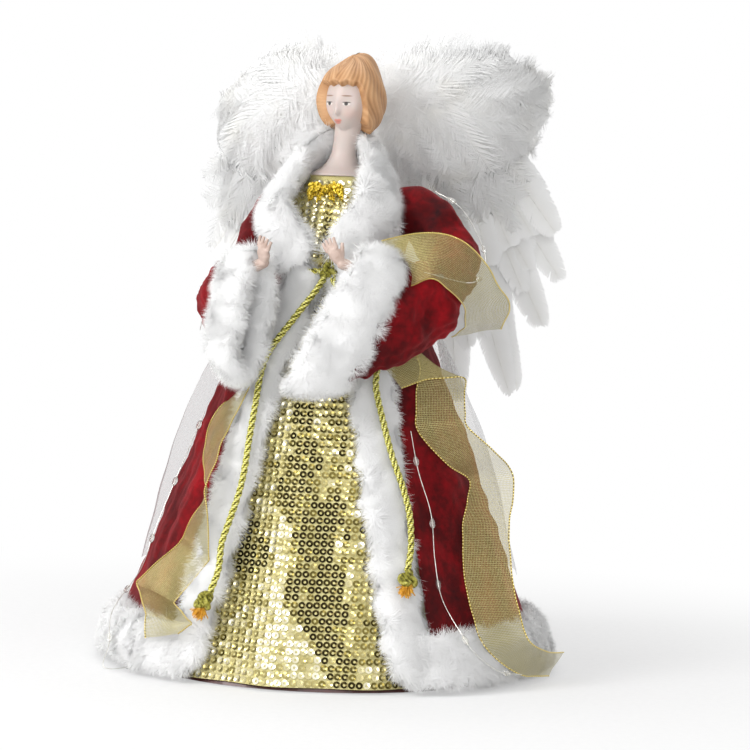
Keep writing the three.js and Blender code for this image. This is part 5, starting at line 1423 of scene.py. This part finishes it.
def on_down(x, z):
    """Distance of the pad's front from the wing's plane at a place on the wing."""
    tall = np.where(z > DOWN_AT[2], DOWN_R[2], mix(
        DOWN_R[2], DOWN_DROP, 0.5 - 0.5 * np.clip((x - DOWN_AT[0]) / DOWN_R[0], -1, 1)))
    rest = 1 - ((x - DOWN_AT[0]) / DOWN_R[0]) ** 2 - ((z - DOWN_AT[2]) / tall) ** 2
    return DOWN_AT[1] - DOWN_R[1] * np.sqrt(np.clip(rest, 0, 1)), rest


def sagged(side, x, y, z):
    """The right wing's down droops outwards."""
    return np.stack([x, y, z - SAG[side] * ease(x, 30, 100)], -1)


def down_core(side):
    """Padding under the plumes: half a ball, flat at the card and longer below."""
    wide, deep, high, low = 41, 12, 24.0, 42.0

    def place(u, v):
        around, fall = TAU * u * SIDE[side], np.pi * v
        d = np.stack([np.cos(around) * np.sin(fall), np.cos(fall), np.sin(around) * np.sin(fall)], 1)
        y = np.minimum(DOWN_AT[1], DOWN_AT[1] + deep * d[:, 1])
        tall = np.where(d[:, 2] > 0, high, mix(high, low, 0.5 - 0.5 * d[:, 0]))
        return wing_place(side, sagged(side, d[:, 0] * wide + DOWN_AT[0], y, d[:, 2] * tall + DOWN_AT[2]))

    return grid("pad", 48, 28, place, True)


# %% One plume of down
CARD_BACK = 3.4
OTHER_FACE = [1, 0, 3, 2, 5, 4]


def plume(side, tip, length, width, rng, behind):
    """One soft plume that lies on the pad or behind the card, ends at tip and points away from the wing's root."""
    flow = np.array([0.9 * tip[0] + 8, 0.9 * (tip[1] - 62) - 0.09 * tip[0] - 34 * float(ease(72 - tip[1], 0, 40))])
    lean = math.atan2(flow[0], -flow[1]) + rng.normal() * 0.2
    way = np.array([math.sin(lean), -math.cos(lean)])
    length = min(length, max(12.0, (tip[0] - 1) / max(way[0], 0.05)))
    blade, uv = feather(length, width, rng.normal() * 3, 0.25, rng, barbs=64, rake=1.0, cover=0.8, fray=1.0,
                        stem=0.1)
    blade = fan(blade, 0, 0, 0, lean, rng.normal() * 0.3)
    x, z = (blade[..., [0, 2]] + tip - way * length).transpose(2, 0, 1)
    front, rest = on_down(x, z)
    y = front + blade[..., 1] * 0.8 - rng.uniform(0.0, 2.5) + np.clip(-rest, 0, 1) * 3
    face = np.stack([(x - DOWN_AT[0]) / DOWN_R[0] * 0.8, -np.ones_like(x), (z - DOWN_AT[2]) / DOWN_R[2] * 0.5], -1)
    if behind:
        y, face = CARD_BACK + blade[..., 1] * 0.3 + rng.uniform(0, 2), face * (1, -1, 1)
        x, y, z = (part[:, OTHER_FACE] for part in (x, y, z))
    soft = unit(face + rng.normal(size=3) * 0.2)
    return wing_place(side, sagged(side, x, y, z)), uv, wing_turn(side, soft)


# %% Down on both wings
PLUMES, FIRST_ON_PAD, FIRST_BEHIND = 250, 40, 190
HANGING = {"left": (10, 78, 2, 40), "right": (24, 106, 0, 56)}
for side in SIDE:
    rng = np.random.default_rng(95)
    points, marks, soft = [], [], []
    while len(points) < PLUMES:
        hanging, behind = len(points) < FIRST_ON_PAD, len(points) >= FIRST_BEHIND
        reach = HANGING[side] if hanging else (3, 93, 56 if behind else 24, 96)
        tip = np.array([rng.uniform(*reach[:2]), rng.uniform(*reach[2:])])
        if hanging or on_down(*tip)[1] > -0.04:
            long, broad = ((40, 58), (13, 18)) if hanging else ((22, 36), (15, 22))
            size = rng.uniform(*long), rng.uniform(*broad)
            for store, part in zip((points, marks, soft), plume(side, tip, *size, rng, behind)):
                store.append(part)
    pad = down_core(side)
    even_tone(pad, 0.6)
    plumes = copies("plumes", np.vstack(points), BARB_FACES[side], np.vstack(marks), np.vstack(soft))
    down = join(f"down_{side}", pad, plumes)
    dress(down, down_white, "white_feather", f"{side}_wing", f"wing_down_{side}")

# %% [markdown]
# ## Fairy lights
# A fine silver wire with small clear drops wanders over the robe and sleeves, unlit. Wire and drops follow the
# solids' route. A drop is a small ball drawn out along the wire.

# %% Wire and drops
silver = Finish("silver_wire", Metallic=1.0, Roughness=0.3)
silver.two_tone(500, 2, (0.62, 0.60, 0.55), (0.85, 0.84, 0.80))
resin = Finish("clear_resin", Roughness=0.08, Transmission_Weight=0.85, IOR=1.5)
resin.two_tone(400, 2, (0.88, 0.87, 0.83), (0.97, 0.97, 0.95))
DROP_PITCH, DROP_L, DROP_W, WIRE_R = 30.0, 5.0, 2.5, 0.21


def light_string(name, path, body, first=15.0):
    """Wire along a path with a drop at each pitch; first is how far along the first drop sits."""
    run = run_of(path)
    wire = tube(f"{name}_wire", path, WIRE_R, 6)
    drops = []
    for s in np.arange(first, run[-1] - 2, DROP_PITCH):
        i = int(np.argmin(np.abs(run - s)))
        ahead = unit(path[min(i + 1, len(path) - 1)] - path[i - 1])
        bar = path[i] + ahead * np.linspace(-0.5, 0.5, 13)[:, None] * DROP_L
        round_ = DROP_W / 2 * np.sqrt(np.clip(1 - np.linspace(-1, 1, 13) ** 2, 0.01, 1))
        drops.append(tube("drop", bar, round_, 10))
    clear = join(f"{name}_drops", *drops)
    dress(wire, silver, "light_wire", body, name)
    dress(clear, resin, "light_wire", body)


def lies(stops):
    """Stops of angle and height, laid on the robe or on the plush hem."""
    angle, z = np.array(stops, float).T
    r = np.where(z > HEM_H + 12, robe_max(z), skin_r(z) - 2 * GAP) + GAP + 1.4
    return polar(np.radians(angle), r, z)


# %% Routes of the lights
NOTCH = math.radians(-46)
LIGHT_RIGHT = ((-50, 12), (-56, 26), (-64, 44), (-69, 62), (-71, 90), (-69, 120))
LIGHT_LEFT = ((50, 118), (50, 100), (52, 80), (50, 60), (50, 42), (51, 26), (54, 18), (60, 10), (68, 7))
inside = [polar(math.radians(-91), cone_r(30) - 3.8, 30), polar(NOTCH - 0.21, cone_r(10) - 3.8, 10),
          polar(NOTCH, 85, 2), polar(NOTCH, 93, 2), polar(NOTCH, 101, 2), polar(NOTCH, float(skin_r(0.0)) + 2, 2)]
light_string("light_string_front_right", through(np.vstack([*inside, lies(LIGHT_RIGHT)]), 220), "figure", 95.0)
light_string("light_string_front_left", through(lies(LIGHT_LEFT), 130), "figure")
BACK_Z = 214.0
back_angles = np.radians(np.arange(100, 261, 20.0))
light_string("light_string_back", through(
    polar(back_angles, robe_in(back_angles, np.full(9, BACK_Z)) + ROBE_T + 1.8, BACK_Z), 90), "figure")
SLEEVE_LIGHTS = {"left": ((0.2, 40), (0.9, 30), (1.5, 40), (2.2, 55), (3, 70), (4.4, 45)),
                 "right": ((0.2, 50), (0.9, 60), (1.6, 75), (2.2, 90), (2.9, 110))}
for side, stops in SLEEVE_LIGHTS.items():
    at, turn = np.array(stops, float).T
    light_string(f"light_string_{side}_sleeve", through(
        on_sleeve(side, at, np.radians(turn), np.full(len(at), 3.0)), 90), f"{side}_arm", 10.0)

# %% [markdown]
# ## Hard parts
# The cone, torso, wires, wing cards and the battery box keep their solids. Each gets a finish with the small
# variation that its material has: pressed card, drawn wire, moulded plastic, plated steel.

# %% Finishes of the solids
HARD = (  # finish, nodes, scale of its clouds, stretch along z, dark and light tone, depth of bump, metal, roughness
    ("maroon_card", ("base_cone",), 180, 0.3, (0.035, 0.006, 0.005), (0.075, 0.014, 0.011), 0.1, 0.0, 0.35),
    ("pressed_card", ("torso_form", "wing_card_left", "wing_card_right"), 260, 1, (0.62, 0.60, 0.56),
     (0.80, 0.79, 0.76), 0.15, 0.0, 0.9),
    ("drawn_wire", ("wing_wire_left", "wing_wire_right", "arm_wire_left", "arm_wire_right"), 900, 0.2,
     (0.30, 0.30, 0.30), (0.55, 0.55, 0.56), 0.05, 1.0, 0.35),
    ("black_plastic", ("battery_case", "battery_cover"), 500, 1, (0.012, 0.012, 0.013), (0.028, 0.028, 0.03), 0.06,
     0.0, 0.45),
    ("foam_pad", ("battery_pad",), 700, 1, (0.03, 0.03, 0.03), (0.09, 0.09, 0.09), 0.3, 0.0, 0.95),
    ("cell_steel", ("coin_cell_lower", "coin_cell_upper"), 400, 1, (0.48, 0.48, 0.47), (0.66, 0.66, 0.65), 0.03, 1.0,
     0.25),
    ("white_plastic", ("switch_knob",), 400, 1, (0.70, 0.70, 0.68), (0.80, 0.80, 0.78), 0.05, 0.0, 0.4),
)
for name, nodes, scale, stretch, dark, light, depth, metal, rough in HARD:
    finish = Finish(name, Metallic=metal, Roughness=rough)
    finish.two_tone(scale, 4, dark, light, (1, 1, stretch))
    finish.bump(finish.cloud(scale * 4, 3, (1, 1, stretch)), depth, 0.5)
    for node in nodes:
        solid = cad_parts[node]
        solid.data.materials.clear()
        solid.data.materials.append(finish.material)
    print(*nodes, "in", name)

# %% [markdown]
# ## Sizes
# The box of the solids and the box of the dressed figure are printed side by side. The dressed figure
# may stand only a little proud of its solids.

# %% Print both boxes
visual_box = [[float(x) for x in corner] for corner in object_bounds()]
for label, corners in (("solids", cad_box), ("dressed", visual_box)):
    print(label, [[round(x / MM, 1) for x in corner] for corner in corners])
